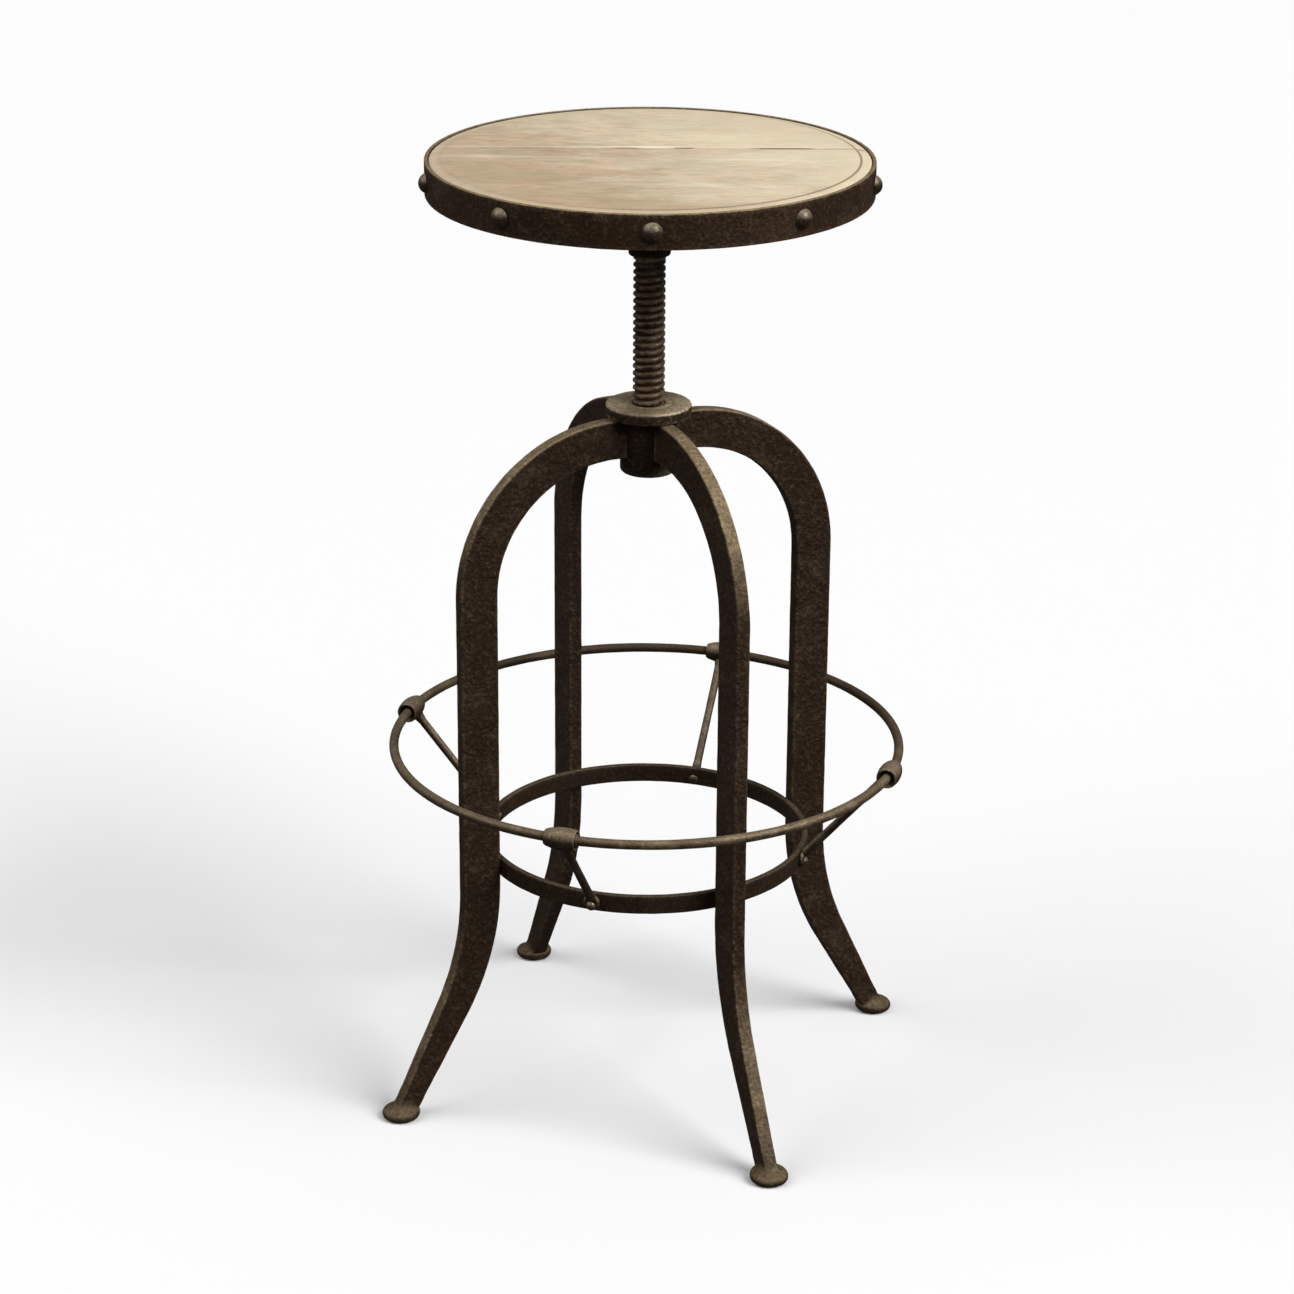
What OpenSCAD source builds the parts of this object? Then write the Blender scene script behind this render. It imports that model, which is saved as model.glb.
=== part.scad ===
// Screw-lift stool. A round wooden seat in an iron band sits on a threaded post.
// The post turns in a flanged hub, which four arched legs carry on round feet.
// A flat hoop ties the legs, and four struts hold a round foot ring outside them.
//
// Millimetres, +Z up. The origin is on the floor, on the axis of the screw.
// The legs stand on the diagonals, and the struts stand on the X and Y axes.

/* [Seat] */
// Outside diameter of the iron band
seat_diameter = 356; // [310:2:440]
// Height of the seat's top face above the floor
seat_height = 800; // [665:5:960]
// Height of the iron band
band_height = 28; // [26:1:40]
// Wall of the iron band
band_wall = 3; // [2:0.5:5]
// How far the wood stands above the band
wood_stand = 0.5; // [0.2:0.1:2]
// Thickness of the two seat boards
board_thickness = 24; // [22:1:32]
// Distance of the glued joint behind the seat's centre
board_joint = 28; // [0:1:60]
// Width of the eased border around the top of the wood
eased_width = 9; // [4:1:16]
// Depth of the eased border where it meets the band
eased_drop = 1.6; // [0.5:0.1:3]
// Turn of the seat about the screw, in degrees
seat_turn = 19; // [0:1:359]

/* [Band rivets] */
// Number of dome rivets around the band
rivet_count = 9; // [6:1:14]
// Diameter of a dome head
rivet_head = 16; // [10:0.5:20]
// Height of a dome head
rivet_dome = 6; // [3:0.5:8]
// Diameter of a rivet's shank
rivet_shank = 5; // [3:0.5:8]
// Length of shank in the band and the wood
rivet_length = 24; // [12:1:34]

/* [Seat bracket] */
// Diameter of the round plate under the wood
plate_diameter = 150; // [120:5:200]
// Thickness of the plate
plate_thickness = 5; // [4:0.5:9]
// Length of the boss below the plate
boss_length = 50; // [36:1:70]
// Wall by which the boss stands outside the screw
boss_lip = 4; // [3:0.5:8]
// Number of gussets between the plate and the boss
gusset_count = 4; // [3:1:8]
// Thickness of a gusset
gusset_thickness = 6; // [4:0.5:10]
// How far a gusset reaches out from the boss
gusset_reach = 26; // [14:1:36]
// Radius of the circle of wood screws
screw_circle = 62; // [50:1:66]
// Shank diameter of a wood screw
wood_screw = 5; // [4:0.5:7]
// Head diameter of a wood screw
wood_screw_head = 10; // [8:0.5:14]
// Length of a wood screw in the wood
wood_screw_length = 17; // [8:1:19]
// Diameter of the pin that locks the screw in the boss
cross_pin = 6; // [4:0.5:8]

/* [Lift screw] */
// Outside diameter of the thread
screw_diameter = 26; // [22:0.5:32]
// Distance from one thread to the next
thread_pitch = 6; // [4:0.5:8]
// Depth of the thread
thread_depth = 1.7; // [1:0.1:2.4]
// Length of screw that shows between the hub and the boss
screw_shown = 123; // [60:1:160]
// Step in radius from the thread to the spigot in the boss
spigot_step = 3; // [2.6:0.1:5]
// Thickness of the stop washer
washer_thickness = 4.8; // [3:0.2:8]
// How far the stop washer stands outside the thread
washer_lip = 4; // [3:0.5:8]
// Shank diameter of the stop bolt
stop_bolt = 8; // [6:0.5:10]
// Shank length of the stop bolt in the screw
stop_bolt_length = 26; // [15:1:40]
// Lift that is left before the washer meets the hub
lift_left = 11.2; // [9.5:0.1:16]

/* [Hub] */
// Thickness of the flange
flange_thickness = 10; // [6:1:16]
// How far the flange overhangs the hub's body
flange_overhang = 12; // [8:0.5:20]
// Height of the hub from its lower edge to the flange's top
hub_height = 58; // [52:1:80]
// Wall of the hub's lower sleeve
hub_wall = 5; // [3:0.5:8]
// Depth of the open sleeve in the lower end
sleeve_depth = 26; // [23:0.5:34]
// Radius of the rounded lower edge
hub_edge = 3; // [1:0.5:4]

/* [Legs] */
// Distance from the axis to a leg's inner edge
leg_inset = 137; // [116:1:168]
// Width of a leg, along the radius
leg_width = 33; // [27:0.5:40]
// Thickness of a leg, across the radius
leg_thickness = 12; // [8:0.5:16]
// Radius inside the arch at the top of a leg
arch_radius = 102; // [85:1:112]
// Height at which a leg starts to turn outwards
splay_height = 197; // [180:1:220]
// Radius of the outward bend
splay_radius = 225; // [180:5:280]
// Angle of the lower leg from the vertical
splay_angle = 28; // [20:1:32]
// Width of a leg at the ankle
ankle_width = 19; // [15:0.5:24]
// Diameter of a foot
foot_diameter = 32; // [26:1:44]
// Thickness of a foot at its rim
foot_thickness = 6.5; // [4:0.5:10]
// Length of the flare from the foot into the leg
flare_length = 20; // [12:1:30]

/* [Hoop] */
// Height of the middle of the hoop
hoop_height = 214; // [200:1:250]
// Width of the flat bar, up and down
hoop_width = 16; // [14:1:22]
// Thickness of the flat bar
hoop_thickness = 5; // [3:0.5:8]

/* [Foot ring] */
// Height of the middle of the rod
ring_height = 302; // [275:1:345]
// Diameter of the rod
rod_diameter = 8; // [6:0.5:10]
// Distance from the legs' outer edge to the middle of the rod
ring_offset = 41; // [28:0.5:45]
// Wall of the ferrule that closes the ring
ferrule_wall = 1.2; // [0.8:0.1:2.5]
// Length of the ferrule along the ring
ferrule_length = 16; // [8:1:30]

/* [Struts] */
// Diameter of a strut
strut_diameter = 7; // [5:0.5:9]
// Length of the barrel that holds the rod
barrel_length = 27; // [18:1:36]
// Wall of the barrel at its middle
barrel_wall = 4.2; // [3:0.1:7]
// Wall of the barrel at its narrow mouth
mouth_wall = 1.1; // [0.6:0.1:2.5]
// How much smaller in radius the wide mouth is than the barrel's middle
wide_mouth_drop = 1.1; // [0.3:0.1:1.8]
// Depth of the countersink in the wide mouth
mouth_sink = 4; // [1:0.5:7]
// How far the barrel's thickest place stands towards the wide mouth
barrel_crest = 2.5; // [0:0.5:6]
// Free play between the rod and the barrel
rod_play = 1.3; // [0.8:0.1:2]
// Diameter of the flat palm on the hoop
palm_diameter = 14; // [12:0.5:16]
// Thickness of the palm
palm_thickness = 3.5; // [2:0.5:6]
// How far the strut lands above the middle of the hoop
strut_land = 5.5; // [4.5:0.5:8]
// How far the rivet stands below the middle of the hoop
rivet_drop = 2.5; // [1.5:0.5:4]
// Shank diameter of a hoop rivet
hoop_rivet = 4.5; // [3:0.5:5]
// Head diameter of a hoop rivet
hoop_rivet_head = 8; // [6.5:0.5:9]
// Dome height of a hoop rivet
hoop_rivet_dome = 2.6; // [1.5:0.1:4]

/* [Fits] */
// Radial clearance of the thread in the hub
running_clearance = 0.08; // [0.02:0.01:0.1]
// Radial clearance of the washer on its bolt
washer_clearance = 0.06; // [0.02:0.01:0.1]
// Clearance on each face of the turning washer
face_clearance = 0.1; // [0.05:0.05:0.5]
// Radial clearance of pins, screws and rivets in their holes
hole_clearance = 0.05; // [0.02:0.01:0.2]
// Gap between pieces that are joined flat
joint_gap = 0.05; // [0.02:0.01:0.2]
// Gap between the wood and the band
wood_gap = 0.15; // [0.05:0.05:0.5]

/* [Hidden] */
$fn = 96;
e = 0.01;

// Seat stack, from the top face down
band_radius = seat_diameter / 2;
band_inner = band_radius - band_wall;
wood_radius = band_inner - wood_gap;
band_top = seat_height - wood_stand;
band_base = band_top - band_height;
band_middle = band_top - band_height / 2;
wood_base = seat_height - board_thickness;
plate_top = wood_base - joint_gap;
plate_base = plate_top - plate_thickness;
boss_base = plate_base - boss_length;

// Screw and hub, from the boss down
screw_radius = screw_diameter / 2;
spigot_radius = screw_radius - spigot_step;
boss_radius = screw_radius + boss_lip;
screw_top = boss_base - joint_gap;
flange_top = boss_base - screw_shown;
hub_base = flange_top - hub_height;
sleeve_top = hub_base + sleeve_depth;
washer_top = sleeve_top - lift_left;
washer_base = washer_top - washer_thickness;
screw_base = washer_top + face_clearance;
head_top = washer_base - face_clearance;
bolt_head_height = stop_bolt * 0.65;
bolt_head_flats = stop_bolt * 1.6;
washer_radius = screw_radius + washer_lip;
sleeve_radius = washer_radius + 1;
hub_radius = sleeve_radius + hub_wall;
flange_radius = hub_radius + flange_overhang;

// Legs
leg_top = flange_top - flange_thickness - joint_gap;
arch_outer = arch_radius + leg_width;
arch_z = leg_top - arch_outer;
arch_r = leg_inset - arch_radius;
leg_middle = leg_inset + leg_width / 2;
leg_outset = leg_inset + leg_width;
bend_length = splay_radius * splay_angle * PI / 180;
bend_r = leg_middle + splay_radius * (1 - cos(splay_angle));
bend_z = splay_height - splay_radius * sin(splay_angle);
foot_r = bend_r + bend_z * tan(splay_angle);
shank_length = (bend_z - foot_thickness * 0.7) / cos(splay_angle);
splay_length = bend_length + shank_length;
splay_steps = 30;

// Hoop, ring and struts
hoop_outer = leg_inset - joint_gap;
hoop_inner = hoop_outer - hoop_thickness;
rod_radius = rod_diameter / 2;
ring_r = leg_outset + ring_offset;
barrel_bore = rod_radius + rod_play;
barrel_middle = barrel_bore + barrel_wall;
barrel_mouth = barrel_bore + mouth_wall;
barrel_half = barrel_length / 2;
narrow_swell = barrel_middle - barrel_mouth;
narrow_run = barrel_half + barrel_crest;
narrow_arc = (narrow_run * narrow_run + narrow_swell * narrow_swell) / (2 * narrow_swell);
wide_run = barrel_half - barrel_crest;
wide_arc = (wide_run * wide_run + wide_mouth_drop * wide_mouth_drop) / (2 * wide_mouth_drop);
wide_opening = barrel_middle - wide_mouth_drop - 0.9;
sink_slope = (wide_opening - barrel_bore) / mouth_sink;
palm_r = hoop_outer + joint_gap;
palm_face = palm_r + palm_thickness;
strut_foot_r = palm_r + strut_diameter / 2;
strut_foot_z = hoop_height + strut_land;
rivet_z = hoop_height - rivet_drop;
// A flat rivet head touches the inside of the round hoop at its rim
rivet_rim = hoop_rivet_head / 2;
rivet_inner = sqrt(hoop_inner * hoop_inner - rivet_rim * rivet_rim) - joint_gap;
ferrule_start = -90 + (barrel_half + 0.6) / ring_r * 180 / PI;
ferrule_angle = ferrule_length / ring_r * 180 / PI;

// ---- Helpers ----

// A spherical cap on the XY plane, with its dome towards +Z
module dome(d, h) {
    r = (d * d / 4 + h * h) / (2 * h);
    intersection() {
        translate([0, 0, h - r])
            sphere(r = r);
        cylinder(d = d + 1, h = h + 1);
    }
}

// Places a copy at each of n equal steps around the Z axis
module around(n, start = 0) {
    for (i = [0:n - 1])
        rotate(start + i * 360 / n)
            children();
}

// Everything that is fixed to the seat stands at the seat's own turn
module seat_frame() {
    rotate(seat_turn)
        children();
}

// ---- Seat ----

// The wooden disc, with its eased border and the holes for what fastens it
module seat_disc() {
    difference() {
        rotate_extrude()
            polygon([
                [0, wood_base],
                [wood_radius, wood_base],
                [wood_radius, seat_height - eased_drop],
                [wood_radius - eased_width * 0.3, seat_height - eased_drop * 0.55],
                [wood_radius - eased_width * 0.65, seat_height - eased_drop * 0.18],
                [wood_radius - eased_width, seat_height],
                [0, seat_height]
            ]);
        around(rivet_count, -90)
            translate([band_radius - rivet_length - 1, 0, band_middle])
                rotate([0, 90, 0])
                    cylinder(r = rivet_shank / 2 + hole_clearance, h = rivet_length + 2);
        around(4, 45)
            translate([screw_circle, 0, wood_base - 1])
                cylinder(r = wood_screw / 2 + hole_clearance, h = wood_screw_length + 1.5);
    }
}

module seat_board_front() {
    color("tan")
        seat_frame()
            difference() {
                seat_disc();
                translate([-seat_diameter, board_joint - joint_gap, 0])
                    cube([2 * seat_diameter, seat_diameter, 2 * seat_height]);
            }
}

module seat_board_back() {
    color("burlywood")
        seat_frame()
            difference() {
                seat_disc();
                translate([-seat_diameter, board_joint + joint_gap - 2 * seat_diameter, 0])
                    cube([2 * seat_diameter, 2 * seat_diameter, 2 * seat_height]);
            }
}

module seat_band() {
    color("dimgray")
        seat_frame()
            difference() {
                rotate_extrude()
                    translate([band_inner, band_base])
                        square([band_wall, band_height]);
                around(rivet_count, -90)
                    translate([band_inner - 2, 0, band_middle])
                        rotate([0, 90, 0])
                            cylinder(r = rivet_shank / 2 + hole_clearance, h = band_wall + 4);
            }
}

module band_rivets() {
    color("gray")
        seat_frame()
            around(rivet_count, -90)
                translate([band_radius + joint_gap, 0, band_middle])
                    rotate([0, 90, 0])
                        union() {
                            dome(rivet_head, rivet_dome);
                            translate([0, 0, -rivet_length])
                                cylinder(d = rivet_shank, h = rivet_length + e);
                        }
}

// ---- Seat bracket ----

module seat_bracket() {
    color("slategray")
        seat_frame()
            difference() {
                union() {
                    translate([0, 0, plate_base])
                        cylinder(d = plate_diameter, h = plate_thickness);
                    translate([0, 0, boss_base + 1])
                        cylinder(r = boss_radius, h = boss_length);
                    translate([0, 0, boss_base])
                        cylinder(r1 = boss_radius - 1, r2 = boss_radius, h = 1);
                    around(gusset_count, 0)
                        rotate([90, 0, 0])
                            translate([0, 0, -gusset_thickness / 2])
                                linear_extrude(gusset_thickness)
                                    polygon([
                                        [boss_radius - 2, plate_base + 1],
                                        [boss_radius + gusset_reach, plate_base + 1],
                                        [boss_radius - 2, plate_base - boss_length * 0.7]
                                    ]);
                }
                translate([0, 0, boss_base - 1])
                    cylinder(r = spigot_radius + hole_clearance, h = boss_length + plate_thickness + 2);
                around(4, 45)
                    translate([screw_circle, 0, plate_base - 1])
                        cylinder(r = wood_screw / 2 + hole_clearance, h = plate_thickness + 2);
                translate([0, 0, pin_z()])
                    rotate([90, 0, 0])
                        rotate([0, 0, 45])
                            translate([0, 0, -boss_radius - 1])
                                cylinder(r = cross_pin / 2 + hole_clearance, h = 2 * boss_radius + 2);
            }
}

// The pin is low in the boss, below the gussets
function pin_z() = boss_base + boss_length * 0.2;

module bracket_screws() {
    color("silver")
        seat_frame()
            around(4, 45)
                translate([screw_circle, 0, plate_base - joint_gap])
                    union() {
                        mirror([0, 0, 1])
                            dome(wood_screw_head, wood_screw_head * 0.35);
                        translate([0, 0, -e])
                            cylinder(d = wood_screw, h = wood_screw_length + plate_thickness);
                    }
}

module bracket_pin() {
    color("silver")
        seat_frame()
            translate([0, 0, pin_z()])
                rotate([90, 0, 0])
                    translate([0, 0, -boss_radius + 0.6])
                        cylinder(d = cross_pin, h = 2 * boss_radius - 1.2);
}

// ---- Lift screw ----

thread_room = screw_top - screw_base - 8;
thread_turns = floor(thread_room / thread_pitch);
thread_start = screw_base + 3;

// One ridge of the thread, from its root below to its root above
function ridge(i) = [
    [screw_radius - thread_depth, thread_start + i * thread_pitch],
    [screw_radius, thread_start + (i + 0.18) * thread_pitch],
    [screw_radius, thread_start + (i + 0.5) * thread_pitch],
    [screw_radius - thread_depth, thread_start + (i + 0.68) * thread_pitch]
];

module lift_screw() {
    color("lightslategray")
        seat_frame()
            difference() {
                rotate_extrude()
                    polygon(concat(
                        [[0, screw_base], [screw_radius - thread_depth, screw_base]],
                        [for (i = [0:thread_turns - 1]) each ridge(i)],
                        [
                            [screw_radius - thread_depth, screw_top - 4],
                            [screw_radius, screw_top - 3],
                            [screw_radius, screw_top],
                            [spigot_radius, screw_top],
                            [spigot_radius, plate_top - 1.5],
                            [spigot_radius - 1, plate_top - 0.5],
                            [0, plate_top - 0.5]
                        ]
                    ));
                translate([0, 0, screw_base - 1])
                    cylinder(r = stop_bolt / 2 + hole_clearance, h = stop_bolt_length + 2);
                translate([0, 0, pin_z()])
                    rotate([90, 0, 0])
                        translate([0, 0, -boss_radius])
                            cylinder(r = cross_pin / 2 + hole_clearance, h = 2 * boss_radius);
            }
}

module stop_washer() {
    color("darkgray")
        difference() {
            translate([0, 0, washer_base])
                cylinder(r = washer_radius, h = washer_thickness);
            translate([0, 0, washer_base - 1])
                cylinder(r = stop_bolt / 2 + washer_clearance, h = washer_thickness + 2);
        }
}

module stop_bolt() {
    color("silver")
        seat_frame()
            union() {
                translate([0, 0, head_top - bolt_head_height])
                    cylinder(d = bolt_head_flats / cos(30), h = bolt_head_height, $fn = 6);
                translate([0, 0, head_top - 1])
                    cylinder(d = stop_bolt, h = screw_base + stop_bolt_length - head_top + 1);
            }
}

// ---- Hub ----

module hub() {
    color("dimgray")
        difference() {
            rotate_extrude()
                union() {
                    translate([0, hub_base + hub_edge])
                        square([hub_radius, hub_height - hub_edge - 1]);
                    translate([0, hub_base])
                        square([hub_radius - hub_edge, hub_edge + 1]);
                    translate([hub_radius - hub_edge, hub_base + hub_edge])
                        circle(r = hub_edge);
                    translate([0, flange_top - flange_thickness])
                        square([flange_radius - 1.5, flange_thickness]);
                    translate([0, flange_top - flange_thickness + 1.5])
                        square([flange_radius, flange_thickness - 3]);
                    translate([flange_radius - 1.5, flange_top - 1.5])
                        circle(r = 1.5);
                    translate([flange_radius - 1.5, flange_top - flange_thickness + 1.5])
                        circle(r = 1.5);
                }
            translate([0, 0, hub_base - 1])
                cylinder(r = screw_radius + running_clearance, h = hub_height + 2);
            translate([0, 0, hub_base - 1])
                cylinder(r = sleeve_radius, h = sleeve_depth + 1);
        }
}

// ---- Legs ----

// Middle of the lower leg at a distance s below the start of the bend: radius, height, lean
function lower_leg(s) =
    s <= bend_length
    ? let (a = s / splay_radius * 180 / PI)
        [leg_middle + splay_radius * (1 - cos(a)), splay_height - splay_radius * sin(a), a]
    : let (d = s - bend_length)
        [bend_r + d * sin(splay_angle), bend_z - d * cos(splay_angle), splay_angle];

function leg_half(s) = (leg_width - (leg_width - ankle_width) * pow(s / splay_length, 1.4)) / 2;

// A point on the outer edge (side 1) or the inner edge (side -1)
function leg_edge(s, side) =
    let (p = lower_leg(s), h = leg_half(s) * side)
        [p[0] + h * cos(p[2]), p[1] + h * sin(p[2])];

module leg_outline() {
    union() {
        translate([0, leg_top - leg_width])
            square([arch_r + e, leg_width]);
        intersection() {
            translate([arch_r, arch_z])
                difference() {
                    circle(r = arch_outer, $fn = 180);
                    circle(r = arch_radius, $fn = 180);
                }
            translate([arch_r, arch_z])
                square([arch_outer + 1, arch_outer + 1]);
        }
        translate([leg_inset, splay_height - e])
            square([leg_width, arch_z - splay_height + 2 * e]);
        polygon(concat(
            [for (i = [0:splay_steps]) leg_edge(splay_length * i / splay_steps, 1)],
            [for (i = [splay_steps:-1:0]) leg_edge(splay_length * i / splay_steps, -1)]
        ));
    }
}

// The flare leans with the lower leg and widens to the foot
module flare() {
    steps = 8;
    rotate_extrude()
        polygon(concat(
            [[0, -4], [foot_diameter / 2 - 2, -4]],
            [for (i = [0:steps])
                [
                    ankle_width * 0.42 + (foot_diameter / 2 - 2 - ankle_width * 0.42) * pow(1 - i / steps, 2.2),
                    flare_length * i / steps
                ]],
            [[0, flare_length]]
        ));
}

module foot() {
    rim = foot_diameter / 2;
    union() {
        translate([0, 0, 0])
            cylinder(r1 = rim - 1, r2 = rim, h = 1);
        translate([0, 0, 1])
            cylinder(r = rim, h = foot_thickness - 3);
        translate([0, 0, foot_thickness - 2])
            cylinder(r1 = rim, r2 = rim - 2, h = 2);
        intersection() {
            translate([0, 0, foot_thickness - 2])
                rotate([0, -splay_angle, 0])
                    flare();
            translate([-60, -60, 1])
                cube([120, 120, 60]);
        }
    }
}

module leg() {
    difference() {
        union() {
            rotate([90, 0, 0])
                translate([0, 0, -leg_thickness / 2])
                    linear_extrude(leg_thickness)
                        leg_outline();
            translate([foot_r, 0, 0])
                foot();
        }
        translate([0, 0, hub_base - 60])
            cylinder(r = hub_radius + joint_gap, h = hub_height + 100);
    }
}

module leg_front_right() {
    color("saddlebrown")
        rotate(-45)
            leg();
}

module leg_back_right() {
    color("sienna")
        rotate(45)
            leg();
}

module leg_back_left() {
    color("saddlebrown")
        rotate(135)
            leg();
}

module leg_front_left() {
    color("sienna")
        rotate(225)
            leg();
}

// ---- Hoop, foot ring and struts ----

module hoop() {
    color("darkslategray")
        difference() {
            rotate_extrude($fn = 180)
                translate([hoop_inner, hoop_height - hoop_width / 2])
                    square([hoop_thickness, hoop_width]);
            around(4, 0)
                translate([hoop_inner - 3, 0, rivet_z])
                    rotate([0, 90, 0])
                        cylinder(r = hoop_rivet / 2 + hole_clearance, h = hoop_thickness + 6);
        }
}

module foot_ring() {
    color("peru")
        rotate_extrude($fn = 180)
            translate([ring_r, ring_height])
                circle(r = rod_radius);
}

module ring_ferrule() {
    color("wheat")
        rotate(ferrule_start)
            rotate_extrude(angle = ferrule_angle, $fn = 180)
                translate([ring_r, ring_height])
                    difference() {
                        circle(r = rod_radius + joint_gap + ferrule_wall);
                        circle(r = rod_radius + joint_gap);
                    }
}

// The barrel lies along Y, pear-shaped, with its wide mouth towards -Y
module barrel() {
    rotate([90, 0, 0])
        rotate_extrude()
            union() {
                intersection() {
                    translate([barrel_middle - narrow_arc, barrel_crest])
                        circle(r = narrow_arc, $fn = 180);
                    translate([0, -barrel_half])
                        square([barrel_middle + 1, narrow_run]);
                }
                intersection() {
                    translate([barrel_middle - wide_arc, barrel_crest])
                        circle(r = wide_arc, $fn = 180);
                    translate([0, barrel_crest])
                        square([barrel_middle + 1, wide_run]);
                }
            }
}

// The barrel's wide mouth is towards -Y, or towards +Y when mouth_turn is 180
module strut(mouth_turn = 0) {
    reach = ring_r - strut_foot_r;
    rise = ring_height - strut_foot_z;
    span = sqrt(reach * reach + rise * rise);
    difference() {
        union() {
            translate([ring_r, 0, ring_height])
                rotate(mouth_turn)
                    barrel();
            translate([strut_foot_r, 0, strut_foot_z])
                rotate([0, atan2(reach, rise), 0])
                    cylinder(d = strut_diameter, h = span);
            translate([strut_foot_r, 0, strut_foot_z])
                sphere(d = strut_diameter);
            translate([palm_r - 2, 0, hoop_height])
                rotate([0, 90, 0])
                    cylinder(d = palm_diameter, h = palm_thickness + 2);
        }
        translate([ring_r, 0, ring_height])
            rotate([90, 0, mouth_turn])
                union() {
                    translate([0, 0, -barrel_half - 1])
                        cylinder(r = barrel_bore, h = barrel_length + 2);
                    translate([0, 0, barrel_half - mouth_sink])
                        cylinder(r1 = barrel_bore, r2 = wide_opening + sink_slope, h = mouth_sink + 1);
                    translate([0, 0, -barrel_half - 1])
                        cylinder(r1 = barrel_bore + mouth_wall, r2 = barrel_bore, h = 2);
                }
        translate([0, 0, hoop_height - palm_diameter])
            cylinder(r = palm_r, h = palm_diameter * 2, $fn = 180);
        translate([hoop_inner, 0, rivet_z])
            rotate([0, 90, 0])
                cylinder(r = hoop_rivet / 2 + hole_clearance, h = hoop_thickness + palm_thickness + 12);
        translate([palm_face, 0, rivet_z])
            rotate([0, 90, 0])
                cylinder(r = hoop_rivet_head / 2 + hole_clearance, h = hoop_rivet_dome + 6);
    }
}

module strut_front() {
    color("olivedrab")
        rotate(-90)
            strut(180);
}

module strut_right() {
    color("darkkhaki")
        strut();
}

module strut_back() {
    color("olivedrab")
        rotate(90)
            strut();
}

module strut_left() {
    color("darkkhaki")
        rotate(180)
            strut(180);
}

module strut_rivets() {
    color("gainsboro")
        around(4, 0)
            translate([0, 0, rivet_z])
                rotate([0, 90, 0])
                    union() {
                        translate([0, 0, palm_face + joint_gap])
                            dome(hoop_rivet_head, hoop_rivet_dome);
                        translate([0, 0, rivet_inner - 0.5])
                            cylinder(d = hoop_rivet, h = palm_face + joint_gap - rivet_inner + 1);
                        translate([0, 0, rivet_inner])
                            mirror([0, 0, 1])
                                dome(hoop_rivet_head, hoop_rivet_dome * 0.6);
                    }
}

seat_board_front();
seat_board_back();
seat_band();
band_rivets();
seat_bracket();
bracket_screws();
bracket_pin();
lift_screw();
stop_washer();
stop_bolt();
hub();
leg_front_right();
leg_back_right();
leg_back_left();
leg_front_left();
hoop();
foot_ring();
ring_ferrule();
strut_front();
strut_right();
strut_back();
strut_left();
strut_rivets();
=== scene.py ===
# %% [markdown]
# # A screw-lift stool, finished piece by piece
#
# The stool is a round wooden seat in an iron band. It sits on a threaded post, which winds up
# and down in a hub on four arched legs. Its sizes and motion are already settled in a packed
# frame. In this lesson each plain part of that frame gets a detailed piece in its place, and
# each surface gets a finish made of nodes.
#
# The frame is loaded first, because every later size is worked out from it.

# %% Load the frame
import math

import bmesh
import bpy
from mathutils import Matrix, Vector


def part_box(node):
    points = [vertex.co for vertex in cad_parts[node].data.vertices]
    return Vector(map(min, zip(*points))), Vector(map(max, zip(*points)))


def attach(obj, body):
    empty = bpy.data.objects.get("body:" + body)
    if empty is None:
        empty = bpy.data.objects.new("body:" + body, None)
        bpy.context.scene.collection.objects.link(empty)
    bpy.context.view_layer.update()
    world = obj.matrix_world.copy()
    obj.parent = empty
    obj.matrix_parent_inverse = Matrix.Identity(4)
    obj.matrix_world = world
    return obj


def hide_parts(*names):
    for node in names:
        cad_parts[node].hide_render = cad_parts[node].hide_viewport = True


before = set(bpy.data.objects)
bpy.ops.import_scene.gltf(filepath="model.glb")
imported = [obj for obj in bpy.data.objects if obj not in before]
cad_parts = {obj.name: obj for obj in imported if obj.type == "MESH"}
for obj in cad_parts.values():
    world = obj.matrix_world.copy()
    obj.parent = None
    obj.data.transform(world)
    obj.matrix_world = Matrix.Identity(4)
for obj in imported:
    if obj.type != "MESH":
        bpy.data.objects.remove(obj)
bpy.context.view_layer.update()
MM = 0.001

# %% [markdown]
# ## The camera
#
# A stool shows best through a long lens, from a little above the seat: the top is then a shallow
# ellipse and the uprights stay nearly parallel. One could type in a position and angles, but
# they are hard to read later. Here the camera is placed by a target on the stool's axis, a
# distance and two angles, as if one walked round the stool, and it is rolled a little.

# %% Camera on a long lens
AZIMUTH = math.radians(18.39)
ELEVATION = math.radians(21.49)
ROLL = math.radians(0.385)
DISTANCE = 2.9444
TARGET = Vector((0, 0, 0.3855))

camera = bpy.data.objects.new("camera", bpy.data.cameras.new("camera"))
bpy.context.scene.collection.objects.link(camera)
camera.data.lens = 98.8
camera.data.sensor_width = 36
turn = Matrix.Rotation(AZIMUTH, 4, "Z") @ Matrix.Rotation(math.pi / 2 - ELEVATION, 4, "X")
camera.matrix_world = (
    Matrix.Translation(TARGET)
    @ turn
    @ Matrix.Rotation(ROLL, 4, "Z")
    @ Matrix.Translation((0, 0, DISTANCE))
)
bpy.context.scene.camera = camera
print("camera at", [round(value, 3) for value in camera.matrix_world.translation])

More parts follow.
